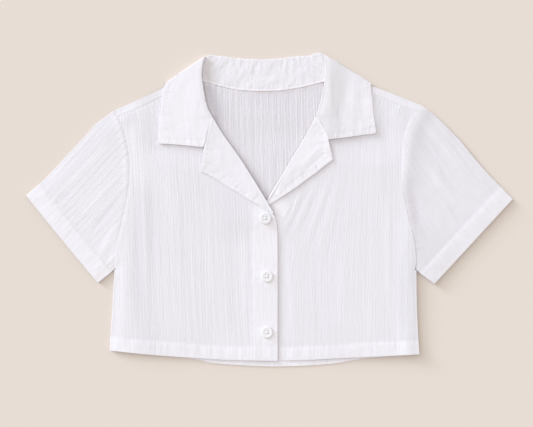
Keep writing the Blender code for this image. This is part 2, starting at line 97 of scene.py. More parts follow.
BACK_HEM = (("right side", -247.0, -218.0), ("right", -185.0, -223.6),
            ("right mid", -118.0, -231.6), ("right half", -90.0, -237.6),
            ("right low", -55.0, -240.6), ("middle", 1.0, -243.2),
            ("left low", 50.0, -242.0), ("left half", 88.0, -239.6), ("left mid", 110.0, -237.2),
            ("left", 130.0, -233.4), ("left far", 156.0, -229.6),
            ("left end", 190.0, -227.0), ("left side", 231.5, -223.5))
FRONT_HEM_R = (("side", -247.0, -218.0), ("quarter", -185.0, -224.4),
               ("half", -123.0, -229.0), ("three", -61.0, -232.7), ("edge", 12.5, -234.0))
FRONT_HEM_L = (("edge", -22.5, -233.5), ("quarter", 47.5, -233.2), ("half", 109.5, -229.8),
               ("three", 171.5, -227.0), ("side", 231.5, -223.5))
ROLL_R = (("break", 6.2, -5.0), ("v", 3.2, 0.5), ("low", -7.5, 18.5),
          ("chest", -43.0, 75.5), ("high", -71.5, 116.0), ("gorge", -88.3, 143.5))
ROLL_L = (("break", -12.0, 0.0), ("v", -1.5, 18.5), ("low", 14.4, 45.0),
          ("chest", 36.9, 83.0), ("high", 59.6, 121.0), ("gorge", 70.9, 143.5))
EDGE_R = (("hem", 12.5, -234.0), ("low", 12.5, -60.0), ("turn", 11.8, -28.5),
          ("top", 8.6, -12.0))
EDGE_L = (("hem", -22.5, -233.5), ("low", -22.5, -50.0), ("turn", -20.5, -25.0),
          ("top", -15.5, -8.0))
GORGE_OVER = ((0.2, 0.9, 0.0, 0.0), (0.6, 1.1, 0.7, 0.0))   # facing past it, towards the collar
LAPEL_R = (("break", 0.8, -3.0), ("low", -11.5, 4.0), ("middle", -33.5, 16.5),
           ("high", -90.5, 52.0), ("point", -107.0, 59.0))
LAPEL_L = (("break", -7.0, 1.5), ("low", 1.2, 8.5), ("middle", 13.2, 16.5),
           ("high", 52.0, 42.5), ("point", 98.5, 78.0))
GORGE_R = (("top", -90.0, 143.0), ("middle", -95.4, 117.0), ("notch", -100.8, 98.0),
           ("point", -107.0, 59.0))
GORGE_L = (("top", 73.2, 143.0), ("middle", 84.2, 124.0), ("notch", 89.8, 109.5),
           ("point", 98.5, 78.0))
SLEEVE_TOP_R = (("tip", -239.5, 154.0), ("crown", -268.7, 133.0), ("upper", -280.2, 119.8),
                ("middle", -308.8, 89.2),
                ("low", -348.0, 47.5), ("cuff", -376.5, 21.5))
SLEEVE_TOP_L = (("tip", 232.0, 163.2), ("crown", 255.0, 147.5), ("middle", 293.5, 109.0),
                ("low", 332.5, 62.5), ("cuff", 376.5, 16.5))
CUFF_R = (("top", -376.5, 21.5), ("middle", -321.9, -45.7), ("under", -266.0, -113.0))
CUFF_L = (("top", 376.5, 16.5), ("middle", 318.7, -46.2), ("under", 255.5, -114.5))
UNDERARM_R = (("body", -240.0, -92.0), ("cuff", -266.0, -113.0))
UNDERARM_L = (("body", 227.4, -93.5), ("cuff", 255.5, -114.5))
#   collar section      Nx      Ny      Rx      Ry      Ox      Oy   turn  top
COLLAR = (
    ("right front", -105.0, 97.6, -101.0, 97.1, -174.8, 103.2, 90, 6.2),
    ("right gorge", -99.8, 120.4, -95.8, 120.5, -172.6, 117.5, 90, 6.2),
    ("right under", -94.6, 138.4, -90.6, 138.8, -171.2, 129.0, 90, 6.3),
    ("right crest", -93.0, 143.0, -88.9, 143.7, -170.8, 133.0, 90, 6.6),
    ("right over", -95.4, 146.8, -91.2, 149.0, -170.3, 138.5, 90, 7.0),
    ("right low", -103.4, 156.2, -97.2, 162.0, -169.2, 151.5, 90, 7.2),
    ("right side", -118.0, 181.0, -103.4, 193.4, -166.4, 174.8, 90, 7.4),
    ("right seam", -122.5, 194.0, -104.9, 212.4, -163.9, 187.2, 90, 7.4),
    ("right bend", -121.5, 201.5, -102.6, 228.5, -161.4, 193.2, 60, 7.4),
    ("right corner", -119.0, 205.6, -99.2, 236.5, -158.9, 196.4, 0, 7.4),
    ("right turn", -116.0, 203.9, -92.0, 239.2, -152.2, 194.0, -60, 7.4),
    ("right back", -95.0, 196.6, -76.7, 238.0, -126.3, 184.8, -90, 7.4),
    ("right rear", -50.0, 186.2, -42.6, 233.7, -64.3, 180.2, -90, 7.4),
    ("middle", 0.0, 183.9, 0.8, 232.8, 0.8, 178.6, -90, 7.4),
    ("left rear", 42.0, 188.5, 38.0, 236.8, 66.0, 180.5, -90, 7.4),
    ("left back", 82.0, 197.9, 61.0, 238.5, 120.0, 186.0, -90, 7.4),
    ("left turn", 104.0, 205.0, 75.0, 242.4, 148.7, 194.4, -60, 7.4),
    ("left corner", 107.0, 207.1, 81.2, 241.2, 156.6, 195.4, 0, 7.4),
    ("left bend", 109.5, 202.5, 87.0, 230.0, 157.0, 191.6, 60, 7.4),
    ("left seam", 110.5, 195.0, 87.0, 212.0, 157.0, 186.0, 90, 7.4),
    ("left side", 106.0, 181.5, 84.3, 193.0, 158.3, 176.0, 90, 7.4),
    ("left low", 90.5, 156.5, 78.2, 163.4, 160.0, 158.0, 90, 7.2),
    ("left over", 82.6, 146.6, 73.9, 148.8, 161.0, 148.0, 90, 7.0),
    ("left crest", 78.2, 142.4, 72.8, 143.3, 161.5, 144.0, 90, 6.6),
    ("left under", 81.6, 138.2, 77.2, 138.4, 162.0, 140.5, 90, 6.3),
    ("left gorge", 89.4, 125.0, 85.4, 124.9, 163.4, 130.4, 90, 6.2),
    ("left front", 95.4, 109.5, 91.6, 108.9, 165.2, 118.3, 90, 6.2),
)
BUTTONS = ((1, -6.5, -13.0), (2, -3.8, -103.0), (3, -4.0, -189.5))


def n_of(full):
    return max(4, int(round(full * FINE)))


# ------------------------------------------------------------- plan geometry
def smooth_curve(table, per=30):
    p = np.array([row[-2:] for row in table], float)
    if len(p) < 3:
        return p
    e = np.vstack([2 * p[0] - p[1], p, 2 * p[-1] - p[-2]])
    t = np.linspace(0, 1, per, endpoint=False)[:, None]
    out = []
    for i in range(1, len(e) - 2):
        a, b, c, d = e[i - 1:i + 3]
        out.append(0.5 * (2 * b + (c - a) * t + (2 * a - 5 * b + 4 * c - d) * t ** 2
                          + (3 * b - a - 3 * c + d) * t ** 3))
    return np.vstack(out + [p[-1:]])


def run_of(points):
    """Distance along a polyline, from its start, at each point."""
    return np.concatenate([[0.0], np.cumsum(np.linalg.norm(np.diff(points, axis=0), axis=1))])


def divide(points, n, start=0.0, stop=0.0):
    """n equal steps between start and stop mm short of the ends."""
    s = run_of(points)
    t = np.linspace(start, s[-1] - stop, n + 1)
    return np.column_stack([np.interp(t, s, points[:, k]) for k in range(points.shape[1])])


def along(table, n, start=0.0, stop=0.0):
    return divide(smooth_curve(table), n, start, stop)


def join(*pieces):
    return np.vstack([pieces[0]] + [p[1:] for p in pieces[1:]])


def normals(points, side):
    t = np.gradient(points, axis=0)
    t /= np.linalg.norm(t, axis=1)[:, None]
    return side * np.column_stack([-t[:, 1], t[:, 0]])


def ease(t):
    t = np.clip(t, 0.0, 1.0)
    return t * t * (3 - 2 * t)


def pulled(points, to, over, end=0):
    """The line with one end moved to a point, easing off along it."""
    s = run_of(points)
    if end:
        s = s[-1] - s
        delta = to - points[-1]
    else:
        delta = to - points[0]
    return points + delta * (1 - ease(s / over))[:, None]


def patch(bottom, top, left, right, u=None, v=None):
    u = np.linspace(0, 1, len(bottom)) if u is None else u
    v = np.linspace(0, 1, len(left)) if v is None else v
    u, v = u[None, :, None], v[:, None, None]
    ruled_v = (1 - v) * bottom[None] + v * top[None]
    ruled_u = (1 - u) * left[:, None] + u * right[:, None]
    corners = ((1 - u) * (1 - v) * bottom[0] + u * (1 - v) * bottom[-1]
               + (1 - u) * v * top[0] + u * v * top[-1])
    return ruled_v + ruled_u - corners


def away(x, y, line, step=6):
    """(distance to a polyline, distance along it) for each plan point."""
    line = np.vstack([line[:-1:step], line[-1:]])
    s = run_of(line)
    best = np.full(x.shape, 1e9)
    where = np.zeros(x.shape)
    for k in range(len(line) - 1):
        a, b = line[k], line[k + 1]
        d = b - a
        n2 = float(d @ d)
        if n2 < 1e-12:
            continue
        t = np.clip(((x - a[0]) * d[0] + (y - a[1]) * d[1]) / n2, 0, 1)
        r = np.hypot(x - a[0] - t * d[0], y - a[1] - t * d[1])
        near = r < best
        best = np.where(near, r, best)
        where = np.where(near, s[k] + t * math.sqrt(n2), where)
    return best, where


CURVE = {name: smooth_curve(table) for name, table in (
    ("arm_r", ARMHOLE_R), ("arm_l", ARMHOLE_L), ("sh_r", SHOULDER_R), ("sh_l", SHOULDER_L),
    ("side_r", SIDE_R), ("side_l", SIDE_L), ("hem_b", BACK_HEM), ("hem_r", FRONT_HEM_R),
    ("hem_l", FRONT_HEM_L), ("lapel_r", LAPEL_R), ("lapel_l", LAPEL_L),
    ("gorge_r", GORGE_R), ("gorge_l", GORGE_L), ("roll_r", ROLL_R), ("roll_l", ROLL_L),
    ("cuff_r", CUFF_R), ("cuff_l", CUFF_L), ("neck_b", BACK_NECK),
    ("top_r", SLEEVE_TOP_R), ("top_l", SLEEVE_TOP_L),
    ("under_r", UNDERARM_R), ("under_l", UNDERARM_L),
    ("edge_r", EDGE_R + (("break", 6.2, -5.0),)), ("edge_l", EDGE_L + (("break", -12.0, 0.0),)))}


# ------------------------------------------------------------------- heights
def flare(x, y):
    """Share by which the two lower corners curl up off the surface."""
    right = np.exp(-((x + 212) / 46) ** 2)
    left = ease((x - 120) / 80) * (1 - ease((x - 240) / 20))
    return (right + 0.95 * left) * (1 - ease((y + 236) / 62))


def left_side(x, y):
    return ease((x - 190) / 34) * (1 - ease((y + 40) / 50)) * (1 - ease((x - 232) / 68))


def blown(x, y):
    """The left side is blown out a little, so its edge stands off the surface,
    and both lower corners curl up."""
    return 2.3 * left_side(x, y) * (1 - 0.45 * ease((x - 212) / 19)) + 1.6 * flare(x, y)


def neck_mask(x, y):
    return ease((y - 105) / 45) * (1 - ease((np.abs(x + 5) - 175) / 48))


def puff(x, y):
    """How much further the front stands off the back, away from neck and edges."""
    off_collar = 1 - ease((y - 62) / 50) * (1 - ease((np.abs(x) - 176) / 34))
    off_strip = ease((np.abs(x + 5) - 34) / 120)
    hem = 0.55 + 0.45 * ease((y + 232) / 60)
    return 1.9 * off_collar * off_strip * hem


def back_z(x, y):
    return REST + NECK_LIFT * neck_mask(x, y) + 1.2 * left_side(x, y) + 1.8 * flare(x, y)


#  how far the edge is pressed (1 none) at each part of the outline
PRESS = (("side_r", 0.78), ("side_l", 0.86), ("hem_b", 0.84), ("top_r", 0.78), ("top_l", 0.66),
         ("cuff_r", 0.84), ("cuff_l", 0.86), ("under_r", 0.70), ("under_l", 0.90),
         ("sh_r", 0.72), ("sh_l", 0.70))


def pressed(x, y):
    """Share of the full loft left near the garment's outline."""
    x, y = np.asarray(x, float), np.asarray(y, float)
    share = np.ones(x.shape)
    for name, least in PRESS:
        if least >= 1.0:
            continue
        line = CURVE[name]
        lo, hi = line.min(0) - 24, line.max(0) + 24
        near = (x > lo[0]) & (x < hi[0]) & (y > lo[1]) & (y < hi[1])
        if near.any():
            d, _ = away(x[near], y[near], line, 10)
            share[near] = np.minimum(share[near], least + (1 - least) * ease(d / 20 + 0.02))
    return share


def front_base_z(x, y):
    low = back_z(x, y)
    high = 0.5 + LOFT + (NECK_LIFT + NECK_LOFT - LOFT) * neck_mask(x, y) + puff(x, y)
    press = 1 - (1 - pressed(x, y)) * (1 - neck_mask(x, y))
    # the left side is blown out a little, so its edge stands off the surface
    return low + (high - low) * press + blown(x, y)


def front_left_z(x, y):
    return (front_base_z(x, y) - 1.3 * ease((44 - x) / 34) * (1 - ease((y - 22) / 45))
            * (1 - 0.7 * ease((y + 52) / 38)))


def front_right_z(x, y):
    fade = 1 - ease((y - 16) / 96)
    vee = ease((y + 54) / 52) * (1 - ease((y - 20) / 70))
    return front_base_z(x, y) + ease((x + 104) / 82) * (0.75 * fade + 1.75 * vee)


# ------------------------------------------------------------ crinkle strokes
def strokes(seed, across, along_, pitch, length, width, depth, up=0.5, skip=0.1, wander=0.3):
    """Rows of one crinkle each: place, half length, width, depth, slant, bow."""
    rng = np.random.default_rng(seed)
    rows = []
    u = across[0]
    while u < across[1]:
        v = along_[0] - rng.uniform(0, length[1])
        while v < along_[1]:
            long = rng.uniform(*length)
            if rng.random() > skip:
                sign = 1.0 if rng.random() < up else -1.0
                rows.append((u + rng.normal(0, wander) * pitch, v + long / 2, long / 2,
                             rng.uniform(*width), sign * rng.uniform(*depth),
                             rng.normal(0, 0.012), rng.normal(0, 0.22) * pitch))
            v += long * rng.uniform(0.7, 1.15)
        u += pitch * rng.uniform(0.55, 1.45)
    return np.array(rows)


def relief(u, v, rows):
    """Height of the crinkles at each point, in the strokes' own coordinates."""
    shape = u.shape
    u, v = u.ravel(), v.ravel()
    h = np.zeros(len(u))
    order = np.argsort(u)
    us, vs = u[order], v[order]
    for su, sv, sl, sw, sd, slant, bow in rows:
        margin = 3.2 * sw + abs(slant) * sl + abs(bow)
        a, b = np.searchsorted(us, (su - margin, su + margin))
        if a == b:
            continue
        t = (vs[a:b] - sv) / sl
        inside = np.abs(t) < 1
        if not inside.any():
            continue
        idx = np.nonzero(inside)[0]
        t = t[idx]
        du = us[a:b][idx] - su - slant * sl * t - bow * (t * t - 0.5)
        h[order[a:b][idx]] += sd * np.exp(-(du / sw) ** 2) * (1 - t * t) ** 1.4
    return h.reshape(shape)


def wave_noise(u, v, seed):
    """Smooth noise in -1..1 on a unit lattice."""
    table = np.random.default_rng(seed).uniform(-1, 1, (128, 128))
    iu, iv = np.floor(u).astype(int), np.floor(v).astype(int)
    fu, fv = u - iu, v - iv
    fu, fv = fu * fu * (3 - 2 * fu), fv * fv * (3 - 2 * fv)
    i0, i1, j0, j1 = iu % 128, (iu + 1) % 128, iv % 128, (iv + 1) % 128
    low = table[i0, j0] * (1 - fu) + table[i1, j0] * fu
    high = table[i0, j1] * (1 - fu) + table[i1, j1] * fu
    return low * (1 - fv) + high * fv


def ribs(u, v, seed, pitch, run=95.0, drift=0.42):
    """Ribs one pitch apart whose course and height wander."""
    way = (drift * wave_noise(u / (7 * pitch), v / (2.2 * run), seed)
           + 0.22 * wave_noise(u / (2.6 * pitch), v / run, seed + 1))
    phase = 2 * math.pi * (u / pitch + way)
    high = np.clip(0.60 + 0.62 * wave_noise(u / (1.25 * pitch), v / (0.8 * run), seed + 2), 0.0, 1.3)
    return high * (np.cos(phase) + 0.28 * np.cos(2 * phase + 1.1))


def crinkle(u, v, seed, box, strength=1.0, pitch=9.6, fine=1.0):
    """Broad ribs, the finer ones on them and single longer folds."""
    (u0, u1), (v0, v1) = box
    single = strokes(seed, (u0, u1), (v0, v1), 13.0, (60, 190), (1.3, 2.3), (0.05, 0.14))
    return strength * (0.060 * ribs(u, v, seed + 3, pitch) + relief(u, v, single)
                       + fine * 0.078 * ribs(u, v, seed + 7, pitch * 0.478, 70.0, 0.5))


def puckers(s, d, seed, length, pitch, width, depth, reach, shift=0.0, slant=0.0):
    """Short gathers across a seam: s runs along it, d away from it."""
    rng = np.random.default_rng(seed)
    h = np.zeros(s.shape)
    at = rng.uniform(0, pitch)
    while at < length:
        w = rng.uniform(*width)
        r = reach * rng.uniform(0.55, 1.35)
        lean = slant + rng.normal(0, 0.10)
        c = shift * rng.uniform(0.6, 1.2)
        near = np.abs(s - at) < 3.2 * w + 4
        if near.any():
            h[near] += (rng.choice((-1.0, 1.0), p=(0.55, 0.45)) * rng.uniform(*depth)
                        * np.exp(-((s[near] - at - lean * d[near]) / w) ** 2)
                        * np.exp(-((d[near] - c) / r) ** 2))
        at += pitch * rng.uniform(0.5, 1.7)
    return h


def pleats(s, d, seed, pitch, depth, reach, slant):
    """Small slanted gathers side by side along an edge."""
    way = 0.35 * wave_noise(s / 11.0, d / 9.0, seed)
    high = np.clip(0.65 + 0.6 * wave_noise(s / 8.0, 0 * s, seed + 1), 0.0, 1.3)
    return depth * high * np.cos(2 * math.pi * ((s - slant * d) / pitch + way)) * np.exp(-(d / reach) ** 2)


def creases(x, y, rows):
    """Soft ridges and troughs, each from one point to another."""
    h = np.zeros(x.shape)
    for x0, y0, x1, y1, width, depth in rows:
        d = np.array((x1 - x0, y1 - y0))
        long = math.hypot(*d)
        d = d / long
        t = ((x - x0) * d[0] + (y - y0) * d[1]) / long
        off = -(x - x0) * d[1] + (y - y0) * d[0]
        h += depth * np.exp(-(off / width) ** 2) * ease(t / 0.35 + 0.15) * ease((1 - t) / 0.35 + 0.15)
    return h


def band(d, depth, soft=1.4):
    """1 inside a turned band of that depth from its edge, 0 beyond it."""
    return 1 - ease((d - depth + soft) / (2 * soft))


def groove(d, at, width, depth):
    return -depth * np.exp(-((d - at) / width) ** 2)


# ------------------------------------------------------ relief, piece by piece
#  creases, mm: from x, y to x, y, half width, height
CREASE_FRONT_R = (
    (-226, -40, -229, -205, 8.0, 0.12),
    (-207, 10, -201, -200, 7.0, -0.30),
    (-196, 60, -190, -150, 4.0, 0.22),
    (-186, 80, -179, -120, 3.4, -0.22),
    (-176, 40, -169, -190, 3.6, 0.08),
    (-160, 80, -150, -40, 6.0, 0.16),
    (-135, 40, -128, -120, 6.0, -0.16),
    (-96, 20, -88, -150, 5.0, 0.16),
    (-60, -20, -55, -200, 6.0, -0.16),
    (-40, -24, -36, -190, 4.0, 0.18),
    (-212, 150, -206, 40, 5.0, 0.12),
    (-30, -12, -52, -4, 4.0, 0.12),
)
CREASE_FRONT_L = (
    (20, -34, 50, 30, 2.6, 0.20),
    (27, -40, 60, 34, 2.2, -0.20),
    (34, -44, 70, 38, 2.4, 0.20),
    (42, -50, 80, 42, 2.4, -0.18),
    (52, -60, 92, 44, 2.8, 0.20),
    (62, -66, 100, 48, 2.6, -0.18),
    (72, -76, 108, 54, 3.0, 0.16),
    (21, -14, 32, 8, 2.4, 0.26),
    (25, -20, 40, 14, 2.2, -0.22),
    (86, -90, 120, 50, 3.4, -0.15),
    (30, -70, 36, -200, 3.5, 0.16),
    (74, -100, 76, -205, 4.5, -0.16),
    (112, -60, 110, -190, 5.0, 0.15),
    (150, 40, 150, -120, 6.0, -0.16),
    (182, 20, 187, -180, 6.0, 0.22),
    (206, -60, 210, -212, 6.0, -0.30),
    (222, -104, 226, -214, 5.0, 0.26),
    (170, 120, 172, 20, 5.0, 0.18),
)
CREASE_SLEEVE_R = (
    (-234, -20, -262, -66, 5.0, 0.34),
    (-236, -50, -258, -84, 5.0, -0.34),
    (-229, 20, -280, -40, 4.0, -0.22),
    (-226, 60, -300, -20, 4.5, 0.20),
    (-262, 126, -348, 36, 4.0, 0.22),
    (-246, 138, -330, 52, 3.6, -0.22),
    (-250, 100, -322, 24, 4.5, 0.18),
    (-300, 40, -340, -2, 4.5, -0.18),
)
CREASE_SLEEVE_L = (
    (214, 60, 232, -40, 7.0, -0.45),
    (222, 20, 246, -60, 7.0, -0.20),
    (236, 140, 300, 60, 5.0, 0.26),
    (250, 148, 330, 52, 4.0, 0.24),
    (232, 110, 292, 18, 5.0, -0.22),
    (246, 64, 292, -2, 5.0, 0.22),
    (262, 40, 300, -30, 4.5, -0.18),
    (240, -40, 262, -92, 6.0, 0.04),
)
CREASE_COLLAR = (
    (-112, 236, -152, 168, 6.0, 0.26),
    (-128, 205, -134, 112, 6.0, -0.20),
    (-112, 186, -116, 110, 5.0, 0.22),
    (-152, 170, -158, 110, 5.0, 0.22),
    (-142, 150, -146, 108, 3.4, -0.16),
    (-122, 140, -124, 104, 3.4, 0.16),
    (91, 240, 96, 150, 5.0, 0.46),
    (122, 236, 118, 160, 11.0, -0.40),
    (134, 200, 128, 120, 7.0, 0.30),
    (99, 160, 108, 126, 5.0, 0.30),
    (146, 186, 148, 136, 5.0, -0.34),
    (104, 150, 132, 128, 4.0, -0.26),
    (98, 126, 118, 120, 3.0, 0.22),
    (122, 140, 126, 118, 3.2, 0.26),
    (136, 142, 139, 120, 3.0, -0.24),
)
CREASE_LAPEL_R = (
    (-84, 116, -90, 82, 4.0, -0.22),
    (-72, 96, -80, 66, 4.0, 0.22),
    (-60, 74, -56, 46, 5.0, -0.16),
    (-32, 46, -30, 26, 4.0, 0.14),
    (-16, 14, -6, 4, 3.0, 0.20),
)
CREASE_LAPEL_L = (
    (50, 56, 90, 92, 2.6, -0.26),
    (44, 62, 84, 104, 3.0, 0.24),
    (26, 36, 62, 62, 2.4, -0.18),
    (22, 46, 46, 74, 4.0, 0.16),
    (8, 22, 26, 34, 2.6, 0.14),
)


#  gathers of the hem band, mm: x, half width, height
HEM_FOLDS_R = ((-238, 2.6, 0.20), (-222, 3.2, -0.24), (-199.2, 2.4, -0.34), (-188, 3.2, 0.22),
               (-175.9, 1.7, -0.36), (-169.7, 1.6, 0.20), (-165.0, 1.8, -0.32), (-155.8, 2.4, -0.30),
               (-145, 3.4, 0.22), (-134.0, 2.2, -0.34), (-123.2, 1.8, -0.30), (-116.5, 2.0, 0.22),
               (-109.3, 2.6, -0.36), (-99, 2.4, 0.20), (-89.1, 2.0, -0.34), (-79, 2.6, 0.20),
               (-69.0, 1.8, -0.34), (-60.0, 2.0, 0.16), (-51.2, 2.8, -0.36), (-43.5, 1.8, 0.20),
               (-36.4, 1.6, -0.32), (-14, 3.0, -0.14), (2, 2.4, 0.12))
HEM_FOLDS_L = ((25.6, 2.2, -0.34), (36, 3.0, 0.20), (48.8, 2.4, -0.32), (60, 3.2, 0.22),
               (70.5, 1.9, -0.32), (83, 3.0, 0.20), (95.3, 4.0, -0.42), (106, 2.4, 0.18),
               (117.0, 2.2, -0.32), (130, 3.4, 0.18), (146, 2.4, -0.20), (160.4, 2.2, -0.34),
               (173, 3.0, 0.20), (184, 1.8, -0.22), (196.1, 2.2, -0.30), (210, 2.8, 0.18),
               (222, 2.0, -0.20))


def hem_folds(x, d, rows):
    h = np.zeros(x.shape)
    for k, (at, width, depth) in enumerate(rows):
        mid = HEM * (0.52 + 0.12 * math.sin(2.3 * k))
        long = HEM * (0.42 + 0.10 * math.cos(1.7 * k))
        lean = 0.10 * math.sin(3.1 * k)
        off = x - at - lean * (d - mid)
        h += 0.50 * depth * np.exp(-(off / (1.15 * width)) ** 2) * np.exp(-np.abs((d - mid) / long) ** 3)
    return h


def lean_left(x, y):
    """Across-the-crinkle coordinate on the under front, whose lines spread
    up and outwards from the break."""
    fall = np.maximum(y + 120, 0.0)
    fall = np.where(fall < 120, fall ** 2 / 240, fall - 60)
    return x - 0.26 * (1 - ease((x - 10) / 190)) * fall


def hem_height(x, line):
    return np.interp(x, line[:, 0], line[:, 1])


def seam_at_armhole(x, y, arm, which, sleeve):
    """Relief beside an armhole. At the right one a thin line sinks between body
    and sleeve; at the left one the sleeve's head stands over the body above, and
    the body over the sleeve below."""
    d, s = away(x, y, arm)
    total = run_of(arm)[-1]
    high = ease((s / total - 0.40) / 0.25)
    if which < 0:
        if sleeve:
            h = 0.30 * high * np.exp(-((d - 4.5) / 3.8) ** 2) - 0.45 * high * np.exp(-(d / 1.1) ** 2)
            return h + (0.4 + 0.6 * high) * puckers(s, d, 71, total, 7.0, (1.3, 2.2), (0.06, 0.20), 9.0, 4.0)
        return (0.10 * np.exp(-((d - 4.0) / 3.0) ** 2) * (1 - high)
                - (0.12 + 0.30 * high) * np.exp(-(d / 1.2) ** 2))
    low = 1 - high
    if sleeve:
        taper = ease((s / total - 0.42) / 0.40)
        crest = 3.2 + 2.0 * taper
        rise = np.where(d < crest, 1 - 0.55 * ((crest - d) / crest) ** 2,
                        np.exp(-((d - crest) / (5.0 + 5.0 * taper)) ** 2))
        h = 0.72 * high * rise
        h = h - 0.16 * low * (1 - ease(d / 12.0))
        return h + puckers(s, d, 73, total, 9.0, (1.4, 2.4), (0.05, 0.14), 9.0, 5.0)
    return 0.16 * low * np.exp(-((d - 4.0) / 4.5) ** 2) + 0.10 * high * np.exp(-(d / 2.5) ** 2)


def shoulder_relief(x, y, fold, seed):
    """Short gathers on the front below the shoulder strip."""
    d, s = away(x, y, fold)
    d = d - STRIP
    return (-0.14 * np.exp(-(d / 1.0) ** 2)
            + puckers(s, np.maximum(d, 0), seed, run_of(fold)[-1], 5.6, (1.1, 1.9), (0.08, 0.22), 13.0, 1.0))


def hem_relief(s, d, depth, seed, length, amount=1.0):
    """Turned band: thicker, with gathers across it and a sunk stitch line."""
    h = 0.22 * band(d, depth)
    h = h + groove(d, depth - 1.2, 0.9, 0.34) + groove(d, depth + 2.6, 1.6, 0.10)
    h = h + amount * puckers(s, d - depth * 0.55, seed, length, 9.0, (2.0, 4.2), (0.12, 0.36), depth * 0.42)
    h = h + amount * puckers(s, d - depth, seed + 1, length, 7.0, (1.2, 2.2), (0.06, 0.18), 6.0)
    return h - 0.08 * np.exp(-(d / 0.9) ** 2)


def front_right_relief(x, y):
    u, v = x + 0.045 * y, y
    d_hem = y - hem_height(x, CURVE["hem_r"])
    strip = ease((x + 30) / 5) * (1 - ease((y - 0) / 24))
    soft_side = ease((-214 - x) / 12) * ease((20 - y) / 60)
    in_hem = band(d_hem, HEM)
    fade = 0.78 * (1 - 0.62 * strip) * (1 - 0.55 * soft_side) * (1 - 0.25 * in_hem)
    h = crinkle(u, v, 11, ((-262, 30), (-250, 200))) * fade
    h = h + creases(x, y, CREASE_FRONT_R) * (1 - 0.5 * in_hem)
    h = h + seam_at_armhole(x, y, CURVE["arm_r"], -1, False) * ease((y + 110) / 40)
    h = h + shoulder_relief(x, y, CURVE["sh_r"], 31)
    h = h + hem_relief(x + 250, d_hem, HEM, 41, 262, 0.45) + hem_folds(x, d_hem, HEM_FOLDS_R)
    # the front strip: double cloth, its inner stitch line and slack between buttons
    h = h + 0.16 * strip + strip * groove(x, -25.5, 0.9, 0.30)
    h = h + strip * puckers(y + 236, x + 25.5, 51, 236, 13.0, (2.0, 4.0), (0.05, 0.16), 7.0)
    for _, bx, by in BUTTONS:
        r = np.hypot(x - bx, y - by)
        ang = np.arctan2(y - by, x - bx)
        h = h - 0.10 * np.exp(-(r / 8.0) ** 4) + 0.14 * np.exp(-((r - 12.0) / 5.0) ** 2)
        h = h + 0.08 * np.exp(-((r - 13.0) / 4.5) ** 2) * np.cos(7 * ang + by) * (1 + 0.5 * np.cos(2 * ang))
    return h


def front_left_relief(x, y):
    u, v = lean_left(x, y), y
    d_hem = y - hem_height(x, CURVE["hem_l"])
    in_hem = band(d_hem, HEM)
    strip = ease((8 - x) / 6) * (1 - ease((y - 10) / 20))
    fade = 0.60 * (1 - 0.6 * strip) * (1 - 0.25 * in_hem) * (1 - 0.3 * ease((x - 196) / 14))
    h = crinkle(u, v, 13, ((-70, 250), (-250, 205))) * fade
    h = h + creases(x, y, CREASE_FRONT_L) * (1 - 0.5 * in_hem)
    h = h + seam_at_armhole(x, y, CURVE["arm_l"], 1, False) * ease((y + 110) / 40)
    h = h + shoulder_relief(x, y, CURVE["sh_l"], 33)
    h = h + hem_relief(x + 25, d_hem, HEM, 43, 262, 0.45) + hem_folds(x, d_hem, HEM_FOLDS_L)
    return h


def back_relief(x, y):
    u = x + 0.02 * y
    d_hem = y - hem_height(x, CURVE["hem_b"])
    in_hem = band(d_hem, HEM)
    inner = ease((y + 20) / 50) * (1 - ease((np.abs(x + 5) - 110) / 30))
    fade = (0.9 + 0.75 * inner) * (1 - 0.55 * in_hem)
    h = crinkle(u, y, 17, ((-262, 250), (-255, 215)), fine=0.95) * fade
    # the weave's slack threads cross the ribs inside the neck
    h = h + 0.030 * inner * wave_noise(x / 3.2, y / 2.6, 171)
    h = h + hem_relief(x + 250, d_hem, HEM, 45, 490, 0.8)
    d, s = away(x, y, CURVE["neck_b"])
    h = h + puckers(s, d, 47, 250, 7.0, (1.0, 2.0), (0.06, 0.2), 10.0, 2.0)
    return h


def strip_relief(x, y, fold, seed):
    """Shoulder strip: pulled smooth over the fold."""
    d, s = away(x, y, fold)
    h = puckers(s, d - STRIP, seed, run_of(fold)[-1], 6.5, (1.2, 2.4), (0.04, 0.12), 5.0)
    return h + 0.10 * np.exp(-((d - 6) / 4) ** 2)


def turned(x, y, angle):
    """Across and along coordinates for crinkles that run at an angle."""
    c, s = math.cos(math.radians(angle)), math.sin(math.radians(angle))
    return -x * s + y * c, x * c + y * s


